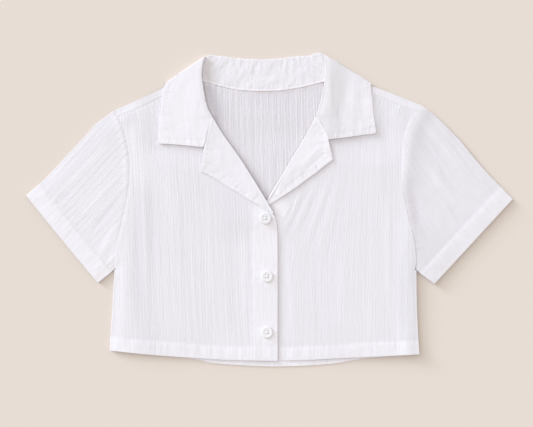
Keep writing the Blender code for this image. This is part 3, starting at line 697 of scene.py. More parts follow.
def sleeve_relief(x, y, which, under):
    """which -1 right, 1 left; under is the layer that lies on the surface."""
    angle = 47.0 if which < 0 else -54.0
    u, v = turned(x, y, angle)
    cuff = CURVE["cuff_r" if which < 0 else "cuff_l"]
    d_cuff, s_cuff = away(x, y, cuff)
    in_hem = band(d_cuff, CUFF)
    low = ease((-20 - y) / 60)
    seed = (19 if which < 0 else 23) + (4 if under else 0)
    span = ((u.min() - 10, u.max() + 10), (v.min() - 10, v.max() + 10))
    strength, fine = (0.94, 0.48) if which < 0 else (0.68, 0.42)
    up_here = 1 + 0.75 * ease((y - 40) / 50) * (which > 0)
    h = crinkle(u, v, seed, span, strength, 8.6, fine) * (1 - 0.5 * in_hem) * (1 - 0.35 * low) * up_here
    h = h + (0.10 if which > 0 else 0.05) * wave_noise(x / 13.0, y / 13.0, seed + 50)
    h = h + (0.035 if which > 0 else 0.022) * wave_noise(x / 3.6, y / 3.6, seed + 52)
    # faint lines across, where the gauze is caught
    h = h + 0.20 * crinkle(v, u, seed + 40, (span[1], span[0]), 1.0, 9.0) * (1 - in_hem)
    if not under:
        h = h + creases(x, y, CREASE_SLEEVE_R if which < 0 else CREASE_SLEEVE_L) * (1 - 0.5 * in_hem)
    h = h + seam_at_armhole(x, y, CURVE["arm_r" if which < 0 else "arm_l"], which, True)
    return h + hem_relief(s_cuff, d_cuff, CUFF, seed + 60, 190, 0.52 if which < 0 else 0.42)


def lapel_relief(x, y, which):
    edge = CURVE["lapel_r" if which < 0 else "lapel_l"]
    end = CURVE["gorge_r" if which < 0 else "gorge_l"]
    low_end = end[int(len(end) * 0.62):]
    d1, s1 = away(x, y, edge, 4)
    d2, s2 = away(x, y, low_end, 4)
    d = np.minimum(d1, d2)
    h = creases(x, y, CREASE_LAPEL_R if which < 0 else CREASE_LAPEL_L)
    h = h + groove(d, 6.2, 0.8, 0.16) - 0.12 * np.exp(-(d / 0.9) ** 2) + 0.08 * band(d, 6.2, 1.0)
    h = h + puckers(s1, d1 - 7.5, 81 + which, 150, 5.4, (1.2, 2.4), (0.14, 0.36), 7.0, 0.0, 0.25 * which)
    h = h + puckers(s2, d2 - 8.0, 85 + which, 60, 4.8, (1.1, 2.0), (0.14, 0.36), 9.0, 0.0, -0.2 * which)
    h = h + pleats(s1, np.abs(d1 - 4.0), 387 + which, 6.2, 0.06, 8.0, 0.35 * which)
    h = h + 0.15 * wave_noise(x / 10.0, y / 12.0, 377) + 0.05 * wave_noise(x / 3.4, y / 3.8, 383)
    # the gorge seam draws short gathers into the lapel
    d3, s3 = away(x, y, end[:int(len(end) * 0.62)], 4)
    h = h + puckers(s3, d3 - 4.0, 89 + which, 60, 5.0, (1.1, 1.9), (0.12, 0.30), 7.0, 2.0, 0.3)
    u = x + 0.1 * y
    return h + (0.75 if which < 0 else 0.5) * crinkle(u, y, 29 + which, ((-130, 130), (-20, 160)), 1.0, 8.6)


# ---------------------------------------------------------------- mesh making
def wound(p, quads, tris):
    """The same faces, all wound the same way round."""
    bm = bmesh.new()
    verts = [bm.verts.new(c) for c in p.tolist()]
    for face in quads.tolist() + tris:
        try:
            bm.faces.new([verts[i] for i in face])
        except ValueError:
            pass
    bm.verts.index_update()
    bmesh.ops.recalc_face_normals(bm, faces=bm.faces)
    four, three = [], []
    for face in bm.faces:
        row = [v.index for v in face.verts]
        (four if len(row) == 4 else three).append(row)
    bm.free()
    return np.array(four), three


class Sheet:
    """Grids that share edges, gathered into one surface with per-point facts."""

    def __init__(self, name):
        self.name = name
        self.points, self.faces, self.cloth, self.h, self.wall, self.tone = [], [], [], [], [], []
        self.count = 0

    def add(self, grid, cloth=None, h=None, wall=CLOTH, tone=0.0, closed=False):
        grid = np.asarray(grid, float)
        nr, nc = grid.shape[:2]
        n = nr * nc
        idx = np.arange(n).reshape(nr, nc) + self.count
        if closed:
            idx = np.hstack([idx, idx[:, :1]])
        f = np.stack([idx[:-1, :-1], idx[:-1, 1:], idx[1:, 1:], idx[1:, :-1]], axis=-1)
        self.points.append(grid.reshape(-1, 3))
        self.faces.append(f.reshape(-1, 4))
        cloth = grid[..., :2] if cloth is None else np.stack(cloth, axis=-1)
        self.cloth.append(np.broadcast_to(cloth, (nr, nc, 2)).reshape(-1, 2))
        self.h.append(np.broadcast_to(0.0 if h is None else h, (nr, nc)).reshape(-1))
        self.wall.append(np.broadcast_to(wall, (nr, nc)).reshape(-1))
        self.tone.append(np.broadcast_to(tone, (nr, nc)).reshape(-1))
        self.count += n

    def make(self, material, slot, floor=None, up=True, wind=True):
        p = np.vstack(self.points)
        f = np.vstack(self.faces)
        cloth = np.vstack(self.cloth)
        h, wall = np.concatenate(self.h), np.concatenate(self.wall)
        tone = np.concatenate(self.tone)
        # weld shared edges
        key = np.round(p / 0.02).astype(np.int64)
        _, first, inverse = np.unique(key, axis=0, return_index=True, return_inverse=True)
        inverse = inverse.reshape(-1)
        p, cloth, h, wall, tone = p[first], cloth[first], h[first], wall[first], tone[first]
        f = inverse[f]
        good = ((f[:, 0] != f[:, 1]) & (f[:, 1] != f[:, 2]) & (f[:, 2] != f[:, 3]) & (f[:, 3] != f[:, 0])
                & (f[:, 0] != f[:, 2]) & (f[:, 1] != f[:, 3]))
        tri_like = ~good
        quads = f[good]
        tris = []
        for q in f[tri_like]:
            u = list(dict.fromkeys(q.tolist()))
            if len(u) == 3:
                tris.append(u)
        if wind:
            quads, tris = wound(p, quads, tris)
        # normals of the smooth form, to push the relief along
        n = np.zeros_like(p)
        a, b, c, d = (p[quads[:, i]] for i in range(4))
        fn = np.cross(c - a, d - b)
        for i in range(4):
            np.add.at(n, quads[:, i], fn)
        n /= np.maximum(np.linalg.norm(n, axis=1), 1e-12)[:, None]
        facing_up = n[:, 2].sum() if up else (n[:, 2] * (p[:, 2] - np.median(p[:, 2]))).sum()
        if wind and facing_up < 0:
            n = -n
            quads = quads[:, ::-1]
            tris = [t[::-1] for t in tris]
        p = p + n * h[:, None]
        if floor is not None:
            p[:, 2] = np.maximum(p[:, 2], floor + wall / 2)
        mesh = bpy.data.meshes.new(self.name)
        faces = quads.tolist() + tris
        mesh.vertices.add(len(p))
        mesh.vertices.foreach_set("co", (p * MM).astype(np.float32).ravel())
        loops = np.concatenate([quads.ravel()] + ([np.array(tris).ravel()] if tris else []))
        sizes = np.array([4] * len(quads) + [3] * len(tris))
        mesh.loops.add(len(loops))
        mesh.loops.foreach_set("vertex_index", loops.astype(np.int32))
        mesh.polygons.add(len(faces))
        mesh.polygons.foreach_set("loop_start", np.concatenate([[0], np.cumsum(sizes)[:-1]]).astype(np.int32))
        mesh.update(calc_edges=True)
        mesh.validate()
        at = mesh.attributes.new("cloth", "FLOAT_VECTOR", "POINT")
        at.data.foreach_set("vector", np.column_stack([cloth, np.zeros(len(cloth))]).astype(np.float32).ravel())
        at = mesh.attributes.new("relief", "FLOAT", "POINT")
        at.data.foreach_set("value", h.astype(np.float32))
        at = mesh.attributes.new("tone", "FLOAT", "POINT")
        at.data.foreach_set("value", tone.astype(np.float32))
        # how steeply the cloth faces the cool side light: the material paints a warm cast there to offset the light's
        # cool tint
        out = -1 if facing_up < 0 and not wind else 1
        lean = np.clip(out * (-0.79 * n[:, 0] + 0.61 * n[:, 1]), 0, 1)
        at = mesh.attributes.new("lean", "FLOAT", "POINT")
        at.data.foreach_set("value", (lean ** 2).astype(np.float32))
        for m in (material if isinstance(material, tuple) else (material,)):
            mesh.materials.append(m)
        mesh.shade_smooth()
        edges = np.empty(len(mesh.edges) * 2, np.int32)
        mesh.edges.foreach_get("vertices", edges)
        edges = np.sort(edges.reshape(-1, 2), axis=1).astype(np.int64)
        sides = np.vstack([quads[:, [i, (i + 1) % 4]] for i in range(4)]
                          + ([np.array(tris)[:, [i, (i + 1) % 3]] for i in range(3)] if tris else []))
        sides = np.sort(sides, axis=1).astype(np.int64)
        code, used = np.unique(sides[:, 0] * len(p) + sides[:, 1], return_counts=True)
        free = np.isin(edges[:, 0] * len(p) + edges[:, 1], code[used == 1])
        at = mesh.attributes.new("sharp_edge", "BOOLEAN", "EDGE")
        at.data.foreach_set("value", free)
        obj = bpy.data.objects.new(self.name, mesh)
        bpy.context.scene.collection.objects.link(obj)
        group = obj.vertex_groups.new(name="wall")
        top = float(wall.max())
        share = wall / top
        for value in np.unique(np.round(share, 2)):
            group.add(np.nonzero(np.round(share, 2) == value)[0].tolist(), float(value), "REPLACE")
        mod = obj.modifiers.new("wall", "SOLIDIFY")
        mod.thickness = top * MM
        mod.offset = 0.0
        mod.use_even_offset = False
        mod.use_quality_normals = True
        mod.material_offset = len(mesh.materials) - 1
        if wall.min() < top - 1e-6:
            mod.vertex_group = "wall"
            mod.thickness_vertex_group = 0.0
        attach(obj, "root")
        return obj


def lift(plan, height):
    return np.dstack([plan, height(plan[..., 0], plan[..., 1])])


def arc_grid(centre, outward, z_mid, radius, angles):
    """Rows of a fold round a line; radius may change along it."""
    radius = np.broadcast_to(radius, (len(centre),))
    out = []
    for a in angles:
        a = math.radians(a)
        out.append(np.column_stack([centre + outward * (radius * math.cos(a))[:, None],
                                    z_mid + radius * math.sin(a)]))
    return np.array(out)


def tight_arc(centre, outward, z_mid, rise, reach, steep, angles):
    """A fold round a line that stays flat up to its steep outer part: half
    height rise, reaching out that far, the steep part that wide."""
    rise = np.broadcast_to(rise, (len(centre),))
    reach = np.broadcast_to(reach, (len(centre),))
    steep = np.minimum(steep, reach)
    out = []
    for a in angles:
        a = math.radians(a)
        out.append(np.column_stack([centre + outward * (reach - steep + steep * math.cos(a))[:, None],
                                    z_mid + rise * math.sin(a)]))
    return np.array(out)


def near_rows(first, last, *shares):
    """Rows between two; one close to the first keeps a fold's shading narrow."""
    return np.array([first * (1 - t) + last * t for t in shares])


def flat_rows(first, last, n):
    """Rows between two, not counting them."""
    t = np.linspace(0, 1, n + 2)[1:-1, None, None]
    return first[None] * (1 - t) + last[None] * t


# ----------------------------------------------------------------- materials
def principled(name, colour, roughness=0.9, sheen=0.0, specular=0.3, coat=0.0):
    m = bpy.data.materials.new(name)
    m.use_nodes = True
    b = m.node_tree.nodes["Principled BSDF"]
    b.inputs["Base Color"].default_value = (*colour, 1.0)
    b.inputs["Roughness"].default_value = roughness
    b.inputs["Metallic"].default_value = 0.0
    b.inputs["Specular IOR Level"].default_value = specular
    b.inputs["Sheen Weight"].default_value = sheen
    b.inputs["Sheen Roughness"].default_value = 0.55
    b.inputs["Coat Weight"].default_value = coat
    b.inputs["Coat Roughness"].default_value = 0.2
    m.diffuse_color = (*colour, 1.0)
    return m, m.node_tree, b


def math_node(nt, operation, a, b=None, clamp=False):
    n = nt.nodes.new("ShaderNodeMath")
    n.operation = operation
    n.use_clamp = clamp
    for i, v in enumerate((a, b)):
        if v is None:
            continue
        if isinstance(v, (int, float)):
            n.inputs[i].default_value = v
        else:
            nt.links.new(v, n.inputs[i])
    return n.outputs[0]


def noise_node(nt, vector, scale, detail=2.0, rough=0.5):
    n = nt.nodes.new("ShaderNodeTexNoise")
    n.noise_dimensions = "2D"
    n.inputs["Scale"].default_value = scale
    n.inputs["Detail"].default_value = detail
    n.inputs["Roughness"].default_value = rough
    nt.links.new(vector, n.inputs["Vector"])
    return n.outputs["Fac"]


def stretched(nt, vector, sx, sy):
    n = nt.nodes.new("ShaderNodeVectorMath")
    n.operation = "MULTIPLY"
    nt.links.new(vector, n.inputs[0])
    n.inputs[1].default_value = (sx, sy, 1.0)
    return n.outputs[0]


def cloth_material(name, high, low, streak, weave, fine, sheen=0.12, deep=1.3):
    """Cotton gauze: colour streaks along the crinkle, painted shade in its troughs and
    painted light on its ridges, a plain weave of two thread sets and the finest
    crinkle as bump. deep is how far the painted shade reaches below the low
    colour, in sheltered folds, where it turns warmer."""
    m, nt, b = principled(name, high, 0.92, sheen, 0.18)
    at = nt.nodes.new("ShaderNodeAttribute")
    at.attribute_name = "cloth"
    vec = at.outputs["Vector"]
    rel = nt.nodes.new("ShaderNodeAttribute")
    rel.attribute_name = "relief"
    tone = nt.nodes.new("ShaderNodeAttribute")
    tone.attribute_name = "tone"
    # streaks: threads packed closer or looser along the cloth
    s1 = noise_node(nt, stretched(nt, vec, 0.55, 0.016), 1.0, 3.0, 0.6)
    s2 = noise_node(nt, stretched(nt, vec, 0.9, 0.05), 1.0, 2.0, 0.5)
    s3 = noise_node(nt, stretched(nt, vec, 0.02, 0.02), 1.0, 2.0, 0.5)
    mix = math_node(nt, "ADD", math_node(nt, "MULTIPLY", s1, 0.5), math_node(nt, "MULTIPLY", s2, 0.3))
    mix = math_node(nt, "ADD", mix, math_node(nt, "MULTIPLY", s3, 0.2))
    lit = math_node(nt, "MULTIPLY", math_node(nt, "SUBTRACT", mix, 0.5), streak)
    # painted shade in the crinkle's troughs and painted light on its ridges; tone adds the painted shade and light laid
    # on each piece, and the doubled cloth's paler colour
    lit = math_node(nt, "ADD", lit, math_node(nt, "MULTIPLY", rel.outputs["Fac"], 0.60))
    lit = math_node(nt, "ADD", lit, tone.outputs["Fac"])
    lit = math_node(nt, "ADD", lit, 0.45)
    ramp = nt.nodes.new("ShaderNodeMix")
    ramp.data_type = "RGBA"
    nt.links.new(lit, ramp.inputs["Factor"])
    ramp.inputs["A"].default_value = (*low, 1.0)
    ramp.inputs["B"].default_value = (*high, 1.0)
    # below the low colour the painted shade turns warmer, as shade in deep folds
    shade = math_node(nt, "ADD", math_node(nt, "MULTIPLY", lit, 1.0 / deep), 1.0, clamp=True)
    fold = nt.nodes.new("ShaderNodeMix")
    fold.data_type = "RGBA"
    nt.links.new(shade, fold.inputs["Factor"])
    fold.inputs["A"].default_value = (*((b_ - deep * (a_ - b_)) * warm
                                        for a_, b_, warm in zip(high, low, (1.06, 1.0, 0.93))), 1.0)
    nt.links.new(ramp.outputs["Result"], fold.inputs["B"])
    # painted warm cast where the cloth faces the cool side light, offsetting its tint
    lean = nt.nodes.new("ShaderNodeAttribute")
    lean.attribute_name = "lean"
    cast = nt.nodes.new("ShaderNodeMix")
    cast.data_type = "RGBA"
    cast.blend_type = "MULTIPLY"
    nt.links.new(lean.outputs["Fac"], cast.inputs["Factor"])
    nt.links.new(fold.outputs["Result"], cast.inputs["A"])
    cast.inputs["B"].default_value = (1.0, 0.955, 0.89, 1.0)
    nt.links.new(cast.outputs["Result"], b.inputs["Base Color"])
    # weave: thread sets 0.62 mm apart, each thread bulging over the other
    sep = nt.nodes.new("ShaderNodeSeparateXYZ")
    nt.links.new(vec, sep.inputs[0])
    wx = math_node(nt, "SINE", math_node(nt, "MULTIPLY", sep.outputs["X"], 2 * math.pi / 0.62))
    wy = math_node(nt, "SINE", math_node(nt, "MULTIPLY", sep.outputs["Y"], 2 * math.pi / 0.70))
    wv = math_node(nt, "MULTIPLY", wx, wy)
    f1 = noise_node(nt, stretched(nt, vec, 0.62, 0.035), 1.0, 3.0, 0.55)
    f2 = noise_node(nt, stretched(nt, vec, 1.1, 0.16), 1.0, 2.0, 0.5)
    height = math_node(nt, "ADD", math_node(nt, "MULTIPLY", wv, weave),
                       math_node(nt, "MULTIPLY", f1, fine))
    height = math_node(nt, "ADD", height, math_node(nt, "MULTIPLY", f2, fine * 0.5))
    bump = nt.nodes.new("ShaderNodeBump")
    bump.inputs["Strength"].default_value = 1.0
    bump.inputs["Distance"].default_value = 0.001
    nt.links.new(height, bump.inputs["Height"])
    nt.links.new(bump.outputs["Normal"], b.inputs["Normal"])
    rough = math_node(nt, "ADD", math_node(nt, "MULTIPLY", s2, 0.10), 0.84)
    nt.links.new(rough, b.inputs["Roughness"])
    return m


def thread_material(name, colour):
    m, nt, b = principled(name, colour, 0.75, 0.1, 0.3)
    at = nt.nodes.new("ShaderNodeTexCoord")
    n = nt.nodes.new("ShaderNodeTexNoise")
    n.inputs["Scale"].default_value = 2500.0
    nt.links.new(at.outputs["Object"], n.inputs["Vector"])
    ramp = nt.nodes.new("ShaderNodeMix")
    ramp.data_type = "RGBA"
    nt.links.new(n.outputs["Fac"], ramp.inputs["Factor"])
    ramp.inputs["A"].default_value = (*(c * 0.94 for c in colour), 1.0)
    ramp.inputs["B"].default_value = (*colour, 1.0)
    nt.links.new(ramp.outputs["Result"], b.inputs["Base Color"])
    return m


def button_material(name):
    """Polyester resin: satin, with faint clouds."""
    m, nt, b = principled(name, (0.85, 0.84, 0.87), 0.42, 0.0, 0.35, 0.05)
    tc = nt.nodes.new("ShaderNodeTexCoord")
    n = nt.nodes.new("ShaderNodeTexNoise")
    n.inputs["Scale"].default_value = 160.0
    n.inputs["Detail"].default_value = 3.0
    nt.links.new(tc.outputs["Object"], n.inputs["Vector"])
    ramp = nt.nodes.new("ShaderNodeMix")
    ramp.data_type = "RGBA"
    nt.links.new(n.outputs["Fac"], ramp.inputs["Factor"])
    ramp.inputs["A"].default_value = (0.812, 0.800, 0.829, 1.0)
    ramp.inputs["B"].default_value = (0.856, 0.844, 0.873, 1.0)
    nt.links.new(ramp.outputs["Result"], b.inputs["Base Color"])
    rough = math_node(nt, "ADD", math_node(nt, "MULTIPLY", n.outputs["Fac"], 0.12), 0.36)
    nt.links.new(rough, b.inputs["Roughness"])
    return m


GAUZE = cloth_material("gauze_body", (0.900, 0.881, 0.928), (0.716, 0.696, 0.740), 0.50, 0.024, 0.30)
# gauze_inside: a darker copy of the gauze for the back's inside face, painted shade inside the garment
GAUZE_IN = cloth_material("gauze_inside", (0.888, 0.864, 0.914), (0.670, 0.647, 0.697), 0.66, 0.036, 0.50)
GAUZE_SLEEVE = cloth_material("gauze_sleeve", (0.903, 0.884, 0.930), (0.726, 0.705, 0.750), 0.32, 0.030, 0.17)
PRESSED = cloth_material("cotton_pressed", (0.912, 0.893, 0.940), (0.786, 0.768, 0.812), 0.45, 0.026, 0.16, deep=2.0)
THREAD = thread_material("thread_white", (0.88, 0.87, 0.90))
RESIN = button_material("button_resin")


# -------------------------------------------------------------------- pieces
def build_back():
    n_side, n_arm = n_of(26), n_of(94)
    side_r, side_l = along(SIDE_R, n_side), along(SIDE_L, n_side)
    arm_r, arm_l = along(ARMHOLE_R, n_arm), along(ARMHOLE_L, n_arm)
    n_sh, n_neck = n_of(62), n_of(204)
    fold_r, fold_l = along(SHOULDER_R, n_sh), along(SHOULDER_L, n_sh)
    out_r, out_l = normals(fold_r, 1), normals(fold_l, -1)

    def half(line):
        x, y = line[:, 0], line[:, 1]
        return (front_base_z(x, y) - back_z(x, y)) / 2

    rad_r, rad_l = half(fold_r), half(fold_l)
    in_r = fold_r - out_r * rad_r[:, None]
    in_l = fold_l - out_l * rad_l[:, None]
    hr, hl = half(side_r), half(side_l)
    curl_r = side_r - normals(side_r, 1) * hr[:, None]
    curl_l = side_l - normals(side_l, -1) * hl[:, None]
    neck = along(BACK_NECK, n_neck)
    neck = pulled(pulled(neck, in_r[-1], 6), in_l[-1], 6, 1)
    top = join(in_r, neck, in_l[::-1])
    arm_r = pulled(pulled(arm_r, curl_r[-1], 15), in_r[0], 15, 1)
    arm_l = pulled(pulled(arm_l, curl_l[-1], 15), in_l[0], 15, 1)
    left, right = join(curl_r, arm_r), join(curl_l, arm_l)
    hem = smooth_curve(BACK_HEM)
    # columns closest together under the neck opening
    share = (top[:, 0] - top[0, 0]) / (top[-1, 0] - top[0, 0])
    run = run_of(hem)
    hem = np.column_stack([np.interp(share * run[-1], run, hem[:, k]) for k in (0, 1)])
    hem = pulled(pulled(hem, left[0], 10), right[0], 10, 1)
    plan = patch(hem, top, left, right)
    x, y = plan[..., 0], plan[..., 1]
    d_hem = y - hem_height(x, CURVE["hem_b"])
    wall = CLOTH + (DOUBLE - CLOTH) * band(d_hem, HEM)
    d_neck, _ = away(x, y, CURVE["neck_b"])
    s = Sheet("back_cloth")
    h = back_relief(x, y)
    main = lift(plan, back_z)
    # painted shade on the strip beside the collar's roll and the V, which keep the light off it; painted shade up
    # inside the neck, painted light just below the neck seam, lifting the stand's shadow, and a paler band over the
    # doubled hem, out of the inside's painted shade
    d_roll, _ = away(x, y, np.array(((-101.0, 200.0), (-101.6, 186.0), (-97.5, 168.0), (-90.0, 150.0))), 1)
    s.add(main, (x + 0.02 * y, y), h, wall,
          tone=(0.40 * band(d_hem, 40.0, 12.0)
                - 0.90 * np.exp(-(d_roll / 17.0) ** 2) * (1 - 0.95 * np.exp(-(d_roll / 7.0) ** 2))
                - 0.08 * ease((y - 110) / 50) + 1.0 * np.exp(-((d_neck - 3.6) / 2.6) ** 2)))
    for curl, line, hh, side, edge in ((curl_r, side_r, hr, 1, 0), (curl_l, side_l, hl, -1, -1)):
        angles = np.linspace(-90, -6, 7)
        z = back_z(curl[:, 0], curl[:, 1]) + hh
        arc = tight_arc(curl, normals(line, side), z, hh, hh, 0.5, angles)
        first = np.column_stack([curl, back_z(curl[:, 0], curl[:, 1])])
        arc = np.concatenate([first[None], flat_rows(first, arc[0], 1), arc])
        angles = np.concatenate([[-90, -90], angles])
        hx = h[:len(curl), edge][None, :] * np.cos(np.radians(angles + 90))[:, None]
        s.add(arc if side > 0 else arc[::-1],
              h=hx if side > 0 else hx[::-1],
              wall=wall[:len(curl), edge][None, :] * np.ones((len(angles), 1)))
    for inner, out, rad, fold, arm, seed in ((in_r, out_r, rad_r, fold_r, CURVE["arm_r"], 61),
                                             (in_l, out_l, rad_l, fold_l, CURVE["arm_l"], 63)):
        mid = back_z(inner[:, 0], inner[:, 1]) + rad
        arc = tight_arc(inner, out, mid, rad, rad, 0.35, np.linspace(-90, 90, 9))
        first = np.column_stack([inner, back_z(inner[:, 0], inner[:, 1])])
        flat = np.column_stack([inner, front_base_z(inner[:, 0], inner[:, 1])])
        arc = np.concatenate([first[None], arc, near_rows(arc[-1], flat, 0.12), flat[None]])
        edge = fold - out * (STRIP + 1.3)
        edge = pulled(edge, divide(arm, 1, 0, STRIP + 1.3)[-1], 25)
        t = np.linspace(0, 1, n_of(9) + 1)[1:, None, None]
        strip = inner[None] * (1 - t) + edge[None] * t
        strip = lift(strip, front_base_z)
        strip[..., 2] -= 0.72 * ease((t[..., 0] - 0.70) / 0.20)
        curve = smooth_curve(SHOULDER_R if seed == 61 else SHOULDER_L)
        hs = strip_relief(strip[..., 0], strip[..., 1], curve, seed)
        grid = np.concatenate([arc, strip])
        top_row = hs[0]
        side_h = np.concatenate([np.zeros((4, len(fold))), np.linspace(0, 1, 8)[:, None] * top_row[None], hs])
        assert len(side_h) == len(grid)
        # the strip's first row repeats the arc's last one at its own place
        round_ = np.concatenate([[0.0], np.cos(np.radians(np.linspace(-90, 90, 9))), np.zeros(len(strip) + 2)])
        # painted shade on the shoulder fold's round, damping its highlight where it faces the light; stronger on the
        # right fold
        s.add(grid, h=side_h, tone=0.06 - (1.2 if seed == 61 else 0.5) * np.clip(1.5 * round_, 0, 1)[:, None])
    return s.make((GAUZE_IN, GAUZE), "crinkle_cotton", floor=0.02)


def build_front(name, tables, height, relief_fn, out_side, uv, material):
    side, arm, fold, neck_t, hem_t, edge_t, roll_t, lapel_t, gorge_t = tables
    n_side, n_arm, n_edge = n_of(52), n_of(100), n_of(88)
    n_roll = n_side + n_arm - n_edge
    n_sh, n_neck = n_of(188), n_of(92)
    s_line, a = along(side, n_side), along(arm, n_arm, 0, STRIP - 0.2)
    f = along(fold, n_sh)
    out = normals(f, out_side)
    seam = f - out * (STRIP - 0.2)
    seam = pulled(seam, a[-1], 25)
    neck = pulled(along(neck_t, n_neck), seam[-1], 8)

    def half(line):
        x, y = line[:, 0], line[:, 1]
        return (front_base_z(x, y) - back_z(x, y)) / 2

    hr = half(s_line)
    curl = s_line - normals(s_line, out_side) * hr[:, None]
    a = pulled(a, curl[-1], 15)
    outer = join(curl, a)
    radius = ROLL + FACING
    roll = along(roll_t, n_roll)
    roll_out = normals(roll, -out_side)
    inner = roll - roll_out * radius
    neck = pulled(neck, inner[-1], 12, 1)
    top = join(seam, neck)
    hem = smooth_curve(hem_t)
    if out_side < 0:
        hem = hem[::-1]
    hem = divide(hem, len(top) - 1)
    hem = pulled(hem, curl[0], 10)
    edge = along(edge_t + (("break", *inner[0]),), n_edge)
    hem[-1] = edge[0]
    inner_edge = join(edge, inner)
    plan = patch(hem, top, outer, inner_edge)
    x, y = plan[..., 0], plan[..., 1]
    h = relief_fn(x, y)
    hem_curve = CURVE["hem_r" if out_side > 0 else "hem_l"]
    d_hem = y - hem_height(x, hem_curve)
    double = band(d_hem, HEM)
    if out_side > 0:
        double = np.maximum(double, ease((x + 28) / 3) * (1 - ease((y - 0) / 10)))
    else:
        double = np.maximum(double, ease((16 - x) / 3) * (1 - ease((y - 12) / 10)))
    wall = CLOTH + (DOUBLE - CLOTH) * double
    s = Sheet(name + "_cloth")
    in_hem = band(d_hem, HEM)
    tone = 0.22 * np.clip(double - in_hem, 0, 1) + 0.13 * in_hem
    if out_side > 0:
        tone = tone - 0.10 * ease((x + 30) / 5) * ease((-60 - y) / 60)
        for _, bx, by in BUTTONS:
            # painted light at the button's lower right, where the soft light gets under it, lifting its cast shadow
            t = 0.788 * (x - bx) - 0.616 * (y - by)
            w = 0.616 * (x - bx) + 0.788 * (y - by)
            tone = tone + 0.55 * np.exp(-(w / 8.0) ** 4) * ease((t - 3) / 4) * (1 - ease((t - 12) / 9))
        # painted shade and painted light in broad patches on the right front, and painted shade below the collar's
        # front edge, lighter right at the edge
        tone = tone - 0.20 * np.exp(-((x + 189) / 16) ** 2) * ease((60 - y) / 50) + 0.10 * ease((-214 - x) / 12)
        tone = tone + 0.20 * np.exp(-((x + 204) / 13) ** 2) * ease((y - 20) / 40)
        tone = tone - 0.24 * np.exp(-((x + 58) / 34) ** 2) * ease((y + 66) / 50) * (1 - ease((y - 20) / 60))
        collar_edge = np.array(((-174.8, 103.2), (-101.0, 97.1)))
        d_edge = away(x, y, collar_edge, 1)[0]
        tone = tone - 0.30 * np.exp(-(d_edge / 11.0) ** 2) * (1 - 1.6 * np.exp(-(d_edge / 3.0) ** 2))
        tone = tone - 0.35 * np.exp(-((x + 215) / 10) ** 2) * ease((y - 118) / 20)
    else:
        # painted shade down the left side and beside the collar's outer and front edges, lighter right at the edge,
        # painted light in a band near x 152 and below the right front's edge at the V; the left front a little darker
        # overall, more higher up
        tone = tone - 0.18 * ease((x - 196) / 22) * (1 - ease((y + 30) / 60)) + 0.10 * np.exp(-((x - 152) / 12) ** 2)
        tone = tone - 0.07 - 0.05 * ease((y - 20) / 60)
        collar_edge = np.array(((157.0, 190.0), (165.2, 118.3), (91.6, 108.9)))
        d_edge = away(x, y, collar_edge, 1)[0]
        tone = tone - 0.40 * np.exp(-(d_edge / 10.0) ** 2) * (1 - 1.8 * np.exp(-(d_edge / 3.0) ** 2))
        tone = tone + 0.55 * np.exp(-((x - 16) / 9) ** 2) * ease((y + 60) / 40) * (1 - ease((y - 8) / 20))
    arm_line = CURVE["arm_r" if out_side > 0 else "arm_l"]
    d_arm, s_arm = away(x, y, arm_line)
    share = s_arm / run_of(arm_line)[-1]
    high = ease((share - 0.40) / 0.25)
    # painted shade along the right armhole's upper seam line; painted light on the left body's edge below the seam's
    # turn
    if out_side > 0:
        tone = tone - 0.55 * high * np.exp(-(d_arm / 1.2) ** 2)
    else:
        tone = tone + 0.35 * (1 - high) * np.exp(-(d_arm / 2.4) ** 2) * ease(share / 0.06)
    s.add(lift(plan, height), uv(x, y), h, wall, tone=tone)
    z = height(curl[:, 0], curl[:, 1]) - hr
    angles = np.linspace(6, 90, 8)
    arc = tight_arc(curl, normals(s_line, out_side), z, hr, hr, 0.5, angles)
    last = np.column_stack([curl, height(curl[:, 0], curl[:, 1])])
    arc = np.concatenate([arc, near_rows(arc[-1], last, 0.12, 0.5), last[None]])
    angles = np.concatenate([angles, [90, 90, 90]])
    hx = h[:len(curl), 0][None, :] * np.sin(np.radians(angles))[:, None]
    s.add(arc, h=hx, wall=wall[:len(curl), 0][None, :] * np.ones((len(angles), 1)))
    base = height(inner[:, 0], inner[:, 1])
    fold_arc = arc_grid(inner, roll_out, base + ROLL, ROLL, np.linspace(-90, 90, 9))
    fold_arc[0, :, 2] = base
    h_in = h[n_edge:, -1]
    # painted shade on the front's roll fold
    s.add(fold_arc, h=h_in[None] * np.linspace(1, 0, 9)[:, None], tone=-0.4)
    n_lap = n_of(38)
    free = along(lapel_t, n_roll)
    run = run_of(free)
    wavy = wave_noise(run / 14.0, 0 * run, 411) + 0.5 * wave_noise(run / 6.0, 0 * run, 413)
    free = free + normals(free, 1) * (0.40 * wavy * ease(run / 10) * ease((run[-1] - run) / 6))[:, None]
    gorge = along(gorge_t, n_lap)
    gorge = pulled(pulled(gorge, inner[-1], 12), free[-1], 4, 1)
    low = along(((0, *inner[0]), (0, *free[0])), n_lap)
    lapel_plan = patch(low, gorge, inner, free)
    lx, ly = lapel_plan[..., 0], lapel_plan[..., 1]
    # the lapel sinks towards its free lower edge
    sink_by, lapel_edge = (1.5, CURVE["lapel_r"]) if out_side > 0 else (1.0, CURVE["lapel_l"])
    sink = lambda a, b: sink_by * ease(1 - away(a, b, lapel_edge, 4)[0] / 30.0)
    under = lift(lapel_plan, lambda a, b: height(a, b) + 2 * ROLL - 0.55 * sink(a, b))
    under[:, 0, 2] = height(under[:, 0, 0], under[:, 0, 1]) + 2 * ROLL
    s.add(under)
    front = s.make(material, "crinkle_cotton")

